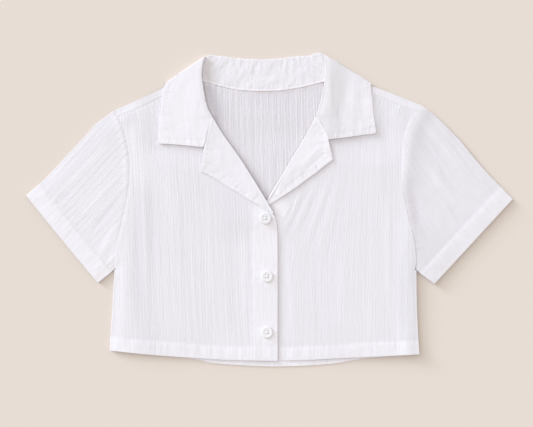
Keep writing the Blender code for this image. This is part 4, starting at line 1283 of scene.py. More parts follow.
    q = Sheet(name.replace("front", "facing") + "_cloth")
    over = np.array([row[-2:] for row in gorge_t], float)
    over[:, 0] -= out_side * np.array(GORGE_OVER[0 if out_side > 0 else 1])
    over = along([(0, *row) for row in over], n_lap)
    over = pulled(pulled(over, inner[-1], 5), free[-1], 4, 1)
    lapel_plan = patch(low, over, inner, free)
    lx, ly = lapel_plan[..., 0], lapel_plan[..., 1]
    lh = lapel_relief(lx, ly, -out_side)
    d_over, s_over = away(lx, ly, over[:int(len(over) * 0.66)], 3)
    lh = lh + 0.42 * np.exp(-((d_over - 1.2) / 1.1) ** 2) * ease(s_over / 8)
    # painted highlight along the facing's gorge edge
    gorge_highlight = 0.7 * np.exp(-(d_over / 1.8) ** 2) * ease(s_over / 8)
    # painted light low down on the left lapel, right up to its roll
    if out_side < 0:
        lit_low = 1.1 * ease((58 - ly) / 32) * np.exp(-(away(lx, ly, inner)[0] / 6.0) ** 2)
    else:
        lit_low = 0 * lx
    face = lift(lapel_plan, lambda a, b: height(a, b) + 2 * ROLL + FACING - sink(a, b))
    face[:, 0, 2] = height(face[:, 0, 0], face[:, 0, 1]) + 2 * ROLL + FACING
    angles = np.linspace(-20, 90, 9)
    face_arc = tight_arc(inner, roll_out, base + ROLL, radius, radius, 0.24, angles)
    face_arc = np.concatenate([face_arc, near_rows(face_arc[-1], face[:, 0], 0.1, 0.5), face[:, 0][None]])
    across = np.linspace(0, 1, len(face_arc))[:, None]
    level = 0.05 if out_side < 0 else -0.16
    # painted shade on the facing's roll fold, damping the highlight of its steep face
    dark = np.concatenate([np.clip(1.4 * np.cos(np.radians(angles)), 0, 1), [0.0, 0.0, 0.0]])[:, None]
    q.add(face_arc, h=lh[:, 0][None] * across, wall=CLOTH * 1.2,
          tone=level - 0.9 * dark + lit_low[:, 0][None] * across)
    q.add(face, h=lh, wall=CLOTH * 1.2, tone=level + gorge_highlight + lit_low)
    facing = q.make(PRESSED, "collar_cotton")
    return front, facing


def build_sleeve(name, arm_t, top_t, cuff_t, under_t, out_side):
    n_arm, n_cuff = n_of(200), n_of(62)
    arm = smooth_curve(arm_t)
    arm = (arm + normals(arm, out_side) * SEAM)[::-1]
    arm = divide(arm, n_arm, 0, 0.5)
    cuff = along(cuff_t, n_arm)
    top, under = along(top_t, n_cuff), along(under_t, n_cuff)
    top = pulled(top, arm[0], 10)
    under = pulled(under, arm[-1], 10)
    cuff = pulled(pulled(cuff, top[-1], 10), under[-1], 10, 1)

    def at(line, u):
        k = np.linspace(0, 1, len(line))
        return np.stack([np.interp(u, k, line[:, 0]), np.interp(u, k, line[:, 1])], axis=-1)

    def point(u, v):
        u, v = np.broadcast_arrays(u, v)
        uu, vv = u[..., None], v[..., None]
        ruled = ((1 - vv) * at(arm, u) + vv * at(cuff, u)
                 + (1 - uu) * at(top, v) + uu * at(under, v))
        corner = ((1 - uu) * (1 - vv) * arm[0] + uu * (1 - vv) * arm[-1]
                  + (1 - uu) * vv * cuff[0] + uu * vv * cuff[-1])
        return ruled - corner

    v = np.linspace(0, 1, n_cuff + 1)
    width = np.linalg.norm(point(np.ones_like(v), v) - point(np.zeros_like(v), v), axis=-1)
    p0, p1 = point(np.zeros_like(v), v), point(np.ones_like(v), v)
    rad0 = (front_base_z(p0[:, 0], p0[:, 1]) - back_z(p0[:, 0], p0[:, 1])) / 2
    rad1 = (front_base_z(p1[:, 0], p1[:, 1]) - back_z(p1[:, 0], p1[:, 1])) / 2
    n_top, n_low = n_of(200), n_of(110)
    ring_u, ring_level = [], []
    steep = 0.34                                     # how wide the folds look from above
    e0, e1 = np.minimum(rad0, steep) / width, np.minimum(rad1, steep) / width
    for a in np.linspace(0, 90, 6)[:-1]:
        ring_u.append(e0 * (1 - math.cos(math.radians(a))))
        ring_level.append(math.sin(math.radians(a)))
    close = 0.0015
    for t in np.concatenate([[0.0, close], np.linspace(0, 1, n_top + 1)[1:-1], [1 - close, 1.0]]):
        ring_u.append(e0 + (1 - e0 - e1) * t)
        ring_level.append(1.0)
    for a in np.linspace(90, -90, 11)[1:-1]:
        ring_u.append(1 - e1 * (1 - math.cos(math.radians(a))))
        ring_level.append(math.sin(math.radians(a)))
    for t in np.linspace(1, 0, n_low + 1):
        ring_u.append(e0 + (1 - e0 - e1) * t)
        ring_level.append(-1.0)
    for a in np.linspace(-90, 0, 6)[1:-1]:
        ring_u.append(e0 * (1 - math.cos(math.radians(a))))
        ring_level.append(math.sin(math.radians(a)))
    ring_u = np.array(ring_u).T                      # rows v, columns round
    level = np.array(ring_level)[None, :] * np.ones_like(ring_u)
    plan = point(ring_u, v[:, None] * np.ones_like(ring_u))
    x, y = plan[..., 0], plan[..., 1]
    zb, zf = back_z(x, y), front_base_z(x, y)
    z = (zb + zf) / 2 + (zf - zb) / 2 * level
    which = -1 if out_side > 0 else 1
    body_arm = CURVE["arm_r" if which < 0 else "arm_l"]
    d_arm, s_arm = away(x, y, body_arm)
    share = s_arm / run_of(body_arm)[-1]
    high = ease((share - 0.40) / 0.25) * (1.0 if which > 0 else 0.0)
    near = np.exp(-(d_arm / 2.0) ** 2) * np.maximum(level, 0)
    z = z + near * (0.30 * high - 0.50 * (1 - high))
    inward = plan[3:4] - plan[0:1]
    inward = inward / np.linalg.norm(inward, axis=-1)[..., None]
    plan = plan - inward * (near * (1.7 - 0.6 * high) * ease((1.02 - share) / 0.06))[..., None]
    x, y = plan[..., 0], plan[..., 1]
    up = sleeve_relief(x, y, which, False)
    low = sleeve_relief(x, y, which, True)
    # the normal points outwards, so relief is outwards on both layers
    h = np.where(level > 0, up * np.abs(level), low * np.abs(level) * 0.8)
    cuff_line = CURVE["cuff_r" if which < 0 else "cuff_l"]
    d_cuff, _ = away(x, y, cuff_line)
    wall = CLOTH + (DOUBLE - CLOTH) * band(d_cuff, CUFF)
    angle = 47.0 if which < 0 else -54.0
    # painted shade and light on the sleeve, besides the cuff band's paler doubled cloth: on the right, painted shade
    # higher up and along the armhole's upper seam line, painted light near the underarm; on the left, painted shade
    # overall, higher up and beside the armhole
    if which < 0:
        shade = 0.03 + 0.10 * band(d_cuff, CUFF) - 0.08 * ease((y - 60) / 60)
        shade = shade + 0.34 * np.exp(-(d_arm / 25.0) ** 2) * ease((-30 - y) / 30)
        shade = shade - 0.5 * ease((share - 0.40) / 0.25) * np.exp(-(d_arm / 1.2) ** 2)
    else:
        shade = 0.14 * band(d_cuff, CUFF) - 0.14 - 0.10 * ease((y - 60) / 50)
        shade = shade - 0.34 * np.exp(-((d_arm - 18) / 13) ** 2) * ease((share - 0.36) / 0.2)
        # painted shade below the seam's turn, where the body keeps the light off the sleeve
        shade = shade - 0.26 * np.exp(-(d_arm / 28.0) ** 2) * (1 - ease((share - 0.38) / 0.2))
        # painted highlight along the left armhole's seam
        shade = shade + 0.45 * np.exp(-(d_arm / 1.5) ** 2) * ease((share - 0.22) / 0.1) * (1 - ease((share - 0.9) / 0.08))
    # painted shade on the rounded folds at the sleeve's edges, damping their highlight; stronger on the right
    shade = shade - (1.3 if which < 0 else 0.5) * np.clip(1.5 * np.sqrt(np.clip(1 - level ** 2, 0, 1)), 0, 1)
    s = Sheet(name + "_cloth")
    s.add(np.dstack([x, y, z]), turned(x, y, angle), h, wall, tone=shade, closed=True)
    return s.make(GAUZE_SLEEVE, "crinkle_cotton", floor=0.02, up=False)


def eased(values):
    """Slopes for a curve through the values that never overshoots them."""
    d = np.diff(values)
    m = np.zeros(len(values))
    for i in range(1, len(values) - 1):
        if d[i - 1] * d[i] > 0:
            m[i] = 2 * d[i - 1] * d[i] / (d[i - 1] + d[i])
    return m


def collar_sections():
    """Rows along the collar: the table's values between its sections, the turn
    sharpened to a fold as narrow as the pressed edge, and the slow turn last."""
    data = np.array([row[1:] for row in COLLAR], float)
    corners = [i for i, row in enumerate(data) if row[6] == 0]
    width, near = 0.05, np.array((1.0, 0.8, 0.6, 0.4, 0.25, 0.12, 0.04))
    e = np.vstack([2 * data[0] - data[1], data, 2 * data[-1] - data[-2]])
    slopes = [eased(data[:, 6]), eased(data[:, 7])]
    out = []
    for i in range(1, len(e) - 2):
        a, b, c, d = e[i - 1:i + 3]
        gap = max(np.hypot(*(c - b)[0:2]), np.hypot(*(c - b)[2:4]), np.hypot(*(c - b)[4:6]))
        k = max(2, int(round(gap / 1.5 * FINE)))
        ts = np.linspace(0, 1, k, endpoint=False)
        if i in corners:
            ts = np.concatenate([ts[ts < 1 - width], 1 - width * near])
        if i - 1 in corners:
            ts = np.concatenate([[0.0], width * near[::-1], ts[ts > width]])
        for t in ts:
            row = 0.5 * (2 * b + (c - a) * t + (2 * a - 5 * b + 4 * c - d) * t ** 2
                         + (3 * b - a - 3 * c + d) * t ** 3)
            for j in (6, 7):
                m0, m1 = slopes[j - 6][i - 1], slopes[j - 6][i]
                row[j] = ((2 * t ** 3 - 3 * t * t + 1) * b[j] + (t ** 3 - 2 * t * t + t) * m0
                          + (3 * t * t - 2 * t ** 3) * c[j] + (t ** 3 - t * t) * m1)
            reach = (1 - t) if i in corners else t if i - 1 in corners else 1.0
            sharp = math.degrees(math.acos(1 - min(reach / width, 1.0)))
            slow, row[6] = row[6], math.copysign(sharp, row[6])
            out.append([*row, slow])
    out.append([*data[-1], data[-1][6]])
    rows = np.array(out)
    for cols, seed, amount, pitch in (((2, 3), 401, 0.22, 13.0), ((4, 5), 403, 0.40, 16.0)):
        s = run_of(rows[:, cols])
        side = normals(rows[:, cols], 1)
        n = wave_noise(s / pitch, 0 * s, seed) + 0.5 * wave_noise(s / (0.42 * pitch), 0 * s, seed + 1)
        rows[:, cols] += side * (amount * n)[:, None]
    return rows


def build_collar():
    rows = collar_sections()
    o_line = rows[:, 4:6]
    n_line = rows[:, 0:2]
    s_n, s_o = run_of(n_line), run_of(o_line)
    n_stand, n_turn, n_fall = n_of(34), 10, n_of(44)
    grid, fall_mask, stand_d, arc_of, bend_of, crest_d = [], [], [], [], [], []
    for nx, ny, rx, ry, ox, oy, turn, top, slow in rows:
        n, rl, o = np.array((nx, ny)), np.array((rx, ry)), np.array((ox, oy))
        s = math.sin(math.radians(turn))
        c = math.cos(math.radians(turn))
        out = np.array((math.copysign(0.57, rx), 0.82))
        r_back, r_front = (STAND_BACK - COLLAR_REST) / 2, (top - STAND_FRONT) / 2
        r = r_back * (1 - s) / 2 + r_front * (1 + s) / 2
        d1, d2 = (rl - n) / np.linalg.norm(rl - n), (rl - o) / np.linalg.norm(rl - o)
        r = r * 0.20
        bow = (1.1 if rx > 0 else 1.0) * math.cos(math.radians(slow)) ** 2
        c1, c2 = rl - d1 * r, rl - d2 * r
        row, fm, sd, arc, bends, crest = [], [], [], [], [], []

        def add(plan, z_back, z_front, is_fall, d, bend=0.0, past=0.0):
            mid, half = (z_front + z_back) / 2, (z_front - z_back) / 2
            plan = plan + out * half * c * 0.10
            row.append((*plan, mid + half * s))
            fm.append(is_fall)
            sd.append(d)
            arc.append(c if is_fall else c * w)
            bends.append(bend)
            crest.append(past)

        stand_len = np.linalg.norm(c1 - n)
        for w in np.append(np.linspace(0, 1, n_stand + 1)[:-1] ** 1.35, (0.994, 1.0)):
            # the stand goes down to the back at its seam
            add(n + (c1 - n) * w, STAND_BACK - 0.30 * math.exp(-(w * stand_len / 1.6) ** 2), STAND_FRONT,
                0.0, w * stand_len, 0.0, 99.0)
        for a in np.linspace(0, 180, n_turn + 1)[1:-1]:
            t, ca, sa = a / 180, math.cos(math.radians(a)), math.sin(math.radians(a))
            direction = d1 * (1 - t) + d2 * t
            direction /= np.linalg.norm(direction)
            add(c1 * (1 - t) + c2 * t + direction * r * sa,
                COLLAR_REST + r_back + r_back * ca, STAND_FRONT + r_front - r_front * ca,
                a / 180, stand_len + 2, sa)
        for w in np.append((0.0, 0.004), np.linspace(0, 1, n_fall + 1)[1:]):
            add(c2 + (o - c2) * w + out * (bow * 4 * w * (1 - w)), COLLAR_REST,
                FALL_EDGE + (top - FALL_EDGE) * (1 - w) ** (1.5 if rx < 0 else 2.4), 1.0, stand_len + 4,
                0.0, w * np.linalg.norm(o - c2))
        grid.append(row)
        fall_mask.append(fm)
        stand_d.append(sd)
        arc_of.append(arc)
        bend_of.append(bends)
        crest_d.append(crest)
    g = np.array(grid)
    fm, sd, arc = np.array(fall_mask), np.array(stand_d), np.array(arc_of)
    bend, past = np.array(bend_of), np.array(crest_d)
    for first, step, seed in ((0, 1, 405), (-1, -1, 407)):
        edge = g[first].copy()
        back_off = g[first + 3 * step] - edge
        back_off[:, 2] = 0
        back_off /= np.maximum(np.linalg.norm(back_off, axis=1), 1e-9)[:, None]
        w = run_of(edge[:, :2])
        n = wave_noise(w / 12.0, 0 * w, seed)[:, None] * fm[first][:, None]
        point = np.exp(-((w[-1] - w) / 2.4) ** 1.4)[:, None]
        inwards = (edge[-6] - edge[-1]) / np.linalg.norm(edge[-6] - edge[-1])
        for k in range(10):
            fade = math.exp(-(k / 3.5) ** 2)
            g[first + k * step] += back_off * (0.35 * n + 0.9 * point) * fade
            g[first + k * step] += inwards * 0.9 * np.exp(-((w[-1] - w) / 2.0) ** 2)[:, None] * math.exp(-k / 1.3)
    x, y = g[..., 0], g[..., 1]
    front = (np.sin(np.radians(rows[:, 6])) * 0.5 + 0.5)[:, None] * np.ones_like(x)
    # fall: free edges, topstitch groove, gathers
    ends = [np.vstack([rows[0, 4:6], rows[0, 2:4]]), np.vstack([rows[-1, 4:6], rows[-1, 2:4]])]
    # each stretch of the collar has its own outer edge: the back one lies hidden
    stretch = np.where(rows[:, 8] <= 0, 1, np.where(rows[:, 2] < 0, 0, 2))
    d_o, s_oo = np.empty(x.shape), np.empty(x.shape)
    for k in range(3):
        mine = np.nonzero(stretch == k)[0]
        d_o[mine], s_oo[mine] = away(x[mine], y[mine], o_line[mine[0]:mine[-1] + 1], 3)
        s_oo[mine] += s_o[mine[0]]
    d = d_o
    for end in ends:
        d = np.minimum(d, away(x, y, end, 1)[0])
    h_fall = (groove(d, 8.2, 1.0, 0.12) - 0.10 * np.exp(-(d / 0.9) ** 2)
              + puckers(s_oo, d_o - 8.6, 91, s_oo.max(), 6.5, (1.2, 2.6), (0.08, 0.24), 6.0))
    for end, seed in zip(ends, (93, 95)):
        d_e, s_e = away(x, y, end, 1)
        h_fall = h_fall + puckers(s_e, d_e - 7.0, seed, 75, 3.9, (1.0, 1.8), (0.12, 0.34), 8.5, 0.0, -0.30)
        h_fall = h_fall + pleats(s_e, np.abs(d_e - 5.0), seed + 300, 5.8, 0.07, 8.0, -0.35)
    h_fall = h_fall + np.where(x < 0, 0.6, 1.0) * creases(x, y, CREASE_COLLAR)
    u = x + np.where(x < 0, 0.10, -0.06) * y
    h_fall = h_fall + np.where(x < 0, 0.34, 0.50) * crinkle(u, y, 37, ((-190, 190), (90, 250)), 1.0, 8.6)
    h_fall = h_fall + np.where(x < 0, 0.09, 0.14) * wave_noise(x / 10.0, y / 13.0, 373) + 0.03 * wave_noise(x / 3.4, y / 3.8, 381)
    # stand: mottled, with short upright gathers, and a bead along its seam
    s_x = s_n[:, None] * np.ones_like(x)
    bead = np.exp(-((sd - 1.1) / 0.8) ** 2) * (1 - fm)
    h_stand = (0.34 * bead + groove(sd, 3.2, 0.8, 0.06)
               + puckers(s_x, sd - 8, 97, s_n[-1], 6.0, (1.3, 2.4), (0.06, 0.20), 6.0)
               + puckers(s_x, sd - 40, 99, s_n[-1], 7.5, (1.6, 3.0), (0.10, 0.30), 8.0)
               + puckers(s_x, sd - 22, 101, s_n[-1], 15.0, (2.6, 5.0), (0.06, 0.16), 12.0)
               + 0.27 * wave_noise(s_x / 7.0, sd / 7.5, 375) + 0.10 * wave_noise(s_x / 3.2, sd / 3.4, 379))
    shown = ease(-rows[:, 8] / 50.0)[:, None]
    h = fm * h_fall * (0.25 + 0.75 * front) + (1 - fm) * h_stand * shown
    s = Sheet("collar_cloth")
    # the relief goes up on the stand's face and up on the fall's face: the
    # sheet's normal flips between the two, so each gets its own sign later
    nz = np.gradient(g, axis=0)
    nw = np.gradient(g, axis=1)
    normal_z = np.cross(nw, nz)[..., 2]
    sign = np.where(normal_z >= 0, 1.0, -1.0)
    right_side = ease((x - 60) / 40) * fm
    # painted shade on the stand beside the right roll, where it lies in the roll's shade
    d_roll, _ = away(x, y, np.array(((-102.0, 196.0), (-104.9, 212.4), (-102.6, 228.5), (-99.2, 239.0))), 1)
    wedge = ((1 - fm) * np.exp(-(d_roll / (19.0 - 8.0 * ease((y - 220) / 18))) ** 2)
             * (1 - 0.85 * np.exp(-(d_roll / 6.0) ** 2))
             * (1 - 0.22 * ease((y - 212) / 8) - 0.35 * ease((y - 226) / 6)))
    # painted highlight along the fall's outer edge
    rim = np.exp(-(d_o / 1.3) ** 2) * fm * front
    # painted shade where the left fall drops away from its roll, and painted light beyond, where it catches the light
    # again
    d_dip, _ = away(x, y, np.array(((121.0, 235.0), (116.0, 207.3), (101.0, 148.4), (95.0, 116.0))), 1)
    dip = np.exp(-(d_dip / (8.0 + 7.0 * ease((y - 150) / 50))) ** 2) * right_side
    lit_again = 0.5 * right_side * ease((x - 112) / 16) * (1 - ease((y - 170) / 24))
    front_row, left_row = rows[:, 8] > 0, rows[:, 2] > 0
    # painted shade on the bend of the stand into the fall, and at the crests by the gorge, with painted light just
    # beyond the left crest
    bent = np.where(front_row, np.where(left_row, 0.3, 0.0) * ease((rows[:, 3] - 141) / 9), 1.0)[:, None]
    crest = fm * ease((rows[:, 3] - 141) / 9)[:, None] * np.where(front_row, 1.0, 0.0)[:, None] * np.where(
        left_row[:, None], 0.62 * np.exp(-(past / 1.4) ** 2) - 0.5 * np.exp(-((past - 5.5) / 4.5) ** 2),
        0.75 * np.exp(-(past / 4.2) ** 2))
    # painted shade along the gorge
    gorge_shade = fm * np.exp(-(past / 1.4) ** 2) * (front_row * (1 - ease((rows[:, 3] - 134) / 8)))[:, None]
    # tone: a little lighter on the fall; painted shade on the stand, the left fall, the folds, the crests, along the
    # gorge and beside the right roll; painted light beyond the left fall's dip; painted highlights on the seam's bead
    # and the outer edge
    tone = (0.04 * fm - 0.34 * right_side - 0.26 * (1 - fm) + 1.15 * bead - 2.1 * wedge + 0.5 * rim
            - 0.6 * gorge_shade - 0.50 * dip + 0.40 * lit_again - crest - bent * np.clip(1.4 * bend, 0, 1)
            - 1.0 * np.clip(1.4 * arc, 0, 1) * np.where(front_row & ~left_row, 0.2, np.where(rows[:, 2] < 60, 1.0, 0.8))[:, None])
    s.add(g, (u, y), h * sign, DOUBLE, tone=tone)
    obj = s.make(PRESSED, "collar_cotton", floor=0.02, up=False, wind=False)
    top = g.copy()
    top[..., 2] += h * np.where(fm > 0.5, 1.0, 0.0)
    return obj, top, rows


# --------------------------------------------------------------------- build
front_right, facing_right = build_front(
    "front_right", (SIDE_R, ARMHOLE_R, SHOULDER_R, FRONT_NECK_R, FRONT_HEM_R, EDGE_R, ROLL_R,
                    LAPEL_R, GORGE_R),
    front_right_z, front_right_relief, 1, lambda x, y: (x + 0.045 * y, y), GAUZE)
front_left, facing_left = build_front(
    "front_left", (SIDE_L, ARMHOLE_L, SHOULDER_L, FRONT_NECK_L, FRONT_HEM_L, EDGE_L, ROLL_L,
                   LAPEL_L, GORGE_L),
    front_left_z, front_left_relief, -1, lambda x, y: (lean_left(x, y), y), GAUZE)
back = build_back()
sleeve_right = build_sleeve("sleeve_right", ARMHOLE_R, SLEEVE_TOP_R, CUFF_R, UNDERARM_R, 1)
sleeve_left = build_sleeve("sleeve_left", ARMHOLE_L, SLEEVE_TOP_L, CUFF_L, UNDERARM_L, -1)
collar, collar_top, collar_rows = build_collar()
rows_turn = collar_rows[:, 6]


def warmed(obj, line, reach, share):
    """Where a fold shuts out the warm room light, so the cool side light would
    tint the cloth beside it: the left of the line gets a painted warm cast, so
    it takes less of that colour."""
    at = obj.data.attributes["lean"]
    n = len(obj.data.vertices)
    co, lean = np.empty(n * 3, np.float32), np.empty(n, np.float32)
    obj.data.vertices.foreach_get("co", co)
    at.data.foreach_get("value", lean)
    co = co.reshape(-1, 3) / MM
    order = np.argsort(line[:, 1])
    d = np.interp(co[:, 1], line[order, 1], line[order, 0]) - co[:, 0]
    near = (d > 0) & (co[:, 1] > line[:, 1].min()) & (co[:, 1] < line[:, 1].max())
    at.data.foreach_set("value", np.maximum(lean, share * near * np.exp(-(d / reach) ** 2)).astype(np.float32))


left_fold = collar_rows[(collar_rows[:, 2] > 60) & (collar_rows[:, 8] > 0) & (collar_rows[:, 3] > 143)][:, 2:4]
left_fold = np.vstack([CURVE["roll_l"][CURVE["roll_l"][:, 1] > 30], left_fold])
warmed(back, left_fold, 6.0, 0.55)
warmed(collar, left_fold, 9.0, 0.45)

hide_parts("front_right")
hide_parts("front_left")
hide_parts("facing_right")
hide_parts("facing_left")
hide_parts("back")
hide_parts("sleeve_right")
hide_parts("sleeve_left")
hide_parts("collar")


# ------------------------------------------------------------------ stitches
def small_mesh(name, verts, faces, material):
    mesh = bpy.data.meshes.new(name)
    mesh.from_pydata([(x * MM, y * MM, z * MM) for x, y, z in verts], [], faces)
    mesh.materials.append(material)
    mesh.shade_smooth()
    obj = bpy.data.objects.new(name, mesh)
    bpy.context.scene.collection.objects.link(obj)
    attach(obj, "root")
    return obj


def stitches(name, seams, pitch=2.9, long=2.2, radius=0.22, sides=6):
    """All of a piece's stitches as one mesh of small tapered threads. Each seam
    is a plan line and the height of the cloth's face at x, y."""
    verts, faces = [], []
    #        along  width   rise
    rings = ((0.0, 0.35, -0.30), (0.16, 0.95, 0.35), (0.5, 1.0, 0.60), (0.84, 0.95, 0.35), (1.0, 0.35, -0.30))
    angles = np.arange(sides) * 2 * math.pi / sides
    for line, face in seams:
        run = run_of(line)
        first = np.arange(0.4, run[-1] - long, pitch)
        ends = [np.column_stack([np.interp(t, run, line[:, k]) for k in (0, 1)]) for t in (first, first + long)]
        level = [face(e[:, 0], e[:, 1]) for e in ends]
        for p, q, z0, z1 in zip(*ends, *level):
            d = (q - p) / np.linalg.norm(q - p)
            side = np.array((-d[1], d[0]))
            base = len(verts)
            for t, wide, up in rings:
                c = p + (q - p) * t
                z = z0 + (z1 - z0) * t
                for a in angles:
                    off = side * radius * wide * math.cos(a)
                    verts.append((c[0] + off[0], c[1] + off[1], z + radius * (wide * math.sin(a) + up)))
            for r in range(len(rings) - 1):
                for k in range(sides):
                    i, j = base + r * sides + k, base + r * sides + (k + 1) % sides
                    faces.append((i, j, j + sides, i + sides))
            faces.append(tuple(base + k for k in reversed(range(sides))))
            faces.append(tuple(base + (len(rings) - 1) * sides + k for k in range(sides)))
    return small_mesh(name, verts, faces, THREAD)


def towards(line, offset, target, start, stop, n=200):
    """The line moved sideways to the side the target lies on."""
    side = normals(line, 1)
    mid = len(line) // 2
    if float((np.array(target) - line[mid]) @ side[mid]) < 0:
        side = -side
    return divide(line + side * offset, n, start, stop)


def upright(x, y0, y1):
    return np.column_stack([np.full(140, float(x)), np.linspace(y0, y1, 140)])


def above_hem(curve, x0, x1):
    x = np.linspace(x0, x1, 260)
    return np.column_stack([x, hem_height(x, curve) + HEM - 1.2])


def on_right(x, y):
    return front_right_z(x, y) + front_right_relief(x, y) + 0.34


def on_left(x, y):
    return front_left_z(x, y) + front_left_relief(x, y) + 0.34


def on_back(x, y):
    return back_z(x, y) + back_relief(x, y) + 0.34


def under_back(x, y):
    return np.maximum(back_z(x, y) + back_relief(x, y) - 0.36, 0.36) - 0.14


hem_r, hem_l, hem_b = CURVE["hem_r"], CURVE["hem_l"][np.argsort(CURVE["hem_l"][:, 0])], CURVE["hem_b"]
sewn = {
    "front_right_stitches": stitches("front_right_stitches", (
        (above_hem(hem_r[::-1] if hem_r[0, 0] > hem_r[-1, 0] else hem_r, -246.0, 9.8), on_right),
        (upright(-25.5, -210, -9), on_right))),
    "front_left_stitches": stitches("front_left_stitches", (
        (above_hem(hem_l, 13.5, 231.0), on_left),)),
    "back_stitches": stitches("back_stitches", (
        (above_hem(hem_b, -245.0, 230.0), under_back),
        (above_hem(hem_b, -245.0, 230.0), on_back))),
}
for which, name, cuff in ((-1, "sleeve_right_stitches", CURVE["cuff_r"]),
                          (1, "sleeve_left_stitches", CURVE["cuff_l"])):
    row = towards(cuff, CUFF - 1.2, (0, 60), 1.0, 1.0)
    sewn[name] = stitches(name, (
        (row, lambda x, y, w=which: front_base_z(x, y) + sleeve_relief(x, y, w, False) + 0.32),
        (row, lambda x, y, w=which: np.maximum(back_z(x, y) - 0.8 * sleeve_relief(x, y, w, True) - 0.36, 0.36) - 0.14)))
for which, name, edge, end, height in (
        (-1, "facing_right_stitches", CURVE["lapel_r"], CURVE["gorge_r"], front_right_z),
        (1, "facing_left_stitches", CURVE["lapel_l"], CURVE["gorge_l"], front_left_z)):
    inside = (-48.0, 88.0) if which < 0 else (46.0, 92.0)
    sink_by = 1.5 if which < 0 else 1.0
    face = lambda x, y, h=height, w=which, e=edge, k=sink_by: (
        h(x, y) + 2 * ROLL + FACING - k * ease(1 - away(x, y, e, 4)[0] / 30.0) + lapel_relief(x, y, w) + 0.30)
    point = end[int(len(end) * 0.68):]
    sewn[name] = stitches(name, (
        (towards(edge, 6.2, inside, 15.0, 6.2), face),
        (towards(point, 6.2, inside, 0.0, 6.2, 60), face)))


def on_collar():
    """Topstitching of the collar: a line on the fall, its set distance from the
    outer edge and both front edges, on the made surface."""
    n_fall = n_of(44)
    fall = collar_top[:, -(n_fall + 1):]
    outer = np.array([np.append(row[-1, :2], 0) for row in fall])[:, :2]
    s = run_of(outer)
    share = []
    for k in range(len(fall)):
        d = np.linalg.norm(fall[k, :, :2] - fall[k, -1, :2], axis=1)[::-1]
        share.append(len(d) - 1 - np.interp(8.2, d, np.arange(len(d))))
    share = np.array(share)
    a, b = np.searchsorted(s, 7.0), np.searchsorted(s, s[-1] - 7.0)

    def at(k, t):
        i = np.clip(int(t), 0, fall.shape[1] - 2)
        return fall[k, i] * (1 - (t - i)) + fall[k, i + 1] * (t - i)

    side = np.array([rows_turn[k] > 30 for k in range(a, b)])
    xs = np.array([at(k, share[k]) for k in range(a, b)])
    lines = [xs[(xs[:, 0] < 0) & side], xs[(xs[:, 0] > 0) & side]]
    for k in (a, b):
        d = np.linalg.norm(fall[k, :, :2] - fall[k, -1, :2], axis=1)
        keep = (d > 8.2) & (d < d[0] - 3.0)
        lines.append(fall[k][keep])
    return lines


collar_lines = on_collar()
seams = []
for line in collar_lines:
    plan, z = line[:, :2], line[:, 2]
    run = run_of(plan)
    fine = np.linspace(0, run[-1], max(20, int(run[-1])))
    path = np.column_stack([np.interp(fine, run, plan[:, k]) for k in (0, 1)])

    def face(x, y, plan=plan, z=z):
        near = ((x[:, None] - plan[None, :, 0]) ** 2 + (y[:, None] - plan[None, :, 1]) ** 2).argmin(axis=1)
        return z[near] + DOUBLE / 2 - 0.08
    seams.append((path, face))
sewn["collar_stitches"] = stitches("collar_stitches", seams)


# ------------------------------------------------------------------- buttons
def lathe(profile, steps):
    """A turned solid: rings of the profile from the axis out and back to it."""
    verts, faces = [], []
    for r, z in profile[1:-1]:
        for k in range(steps):
            a = 2 * math.pi * k / steps
            verts.append((r * math.cos(a), r * math.sin(a), z))
    n = len(profile) - 2
    for i in range(n - 1):
        for k in range(steps):
            a, b = i * steps + k, i * steps + (k + 1) % steps
            faces.append((a, b, b + steps, a + steps))
    first, last = len(verts), len(verts) + 1
    verts += [(0, 0, profile[0][1]), (0, 0, profile[-1][1])]
    for k in range(steps):
        faces.append((first, (k + 1) % steps, k))
        j = (n - 1) * steps
        faces.append((last, j + k, j + (k + 1) % steps))
    return verts, faces


def rounded(profile, per=4):
    """The profile with its inner corners turned soft."""
    p = np.array(profile, float)
    out = [tuple(p[0])]
    for a, b, c in zip(p[:-2], p[1:-1], p[2:]):
        cut = min(0.42 * np.linalg.norm(b - a), 0.42 * np.linalg.norm(c - b), 0.55)
        s, e = b + (a - b) / np.linalg.norm(a - b) * cut, b + (c - b) / np.linalg.norm(c - b) * cut
        for t in np.linspace(0, 1, per + 1):
            q = s * (1 - t) ** 2 + 2 * b * t * (1 - t) + e * t * t
            out.append(tuple(q))
    out.append(tuple(p[-1]))
    return out


def bm_solid(verts, faces):
    mesh = bpy.data.meshes.new("cut")
    mesh.from_pydata([(x * MM, y * MM, z * MM) for x, y, z in verts], [], faces)
    return mesh


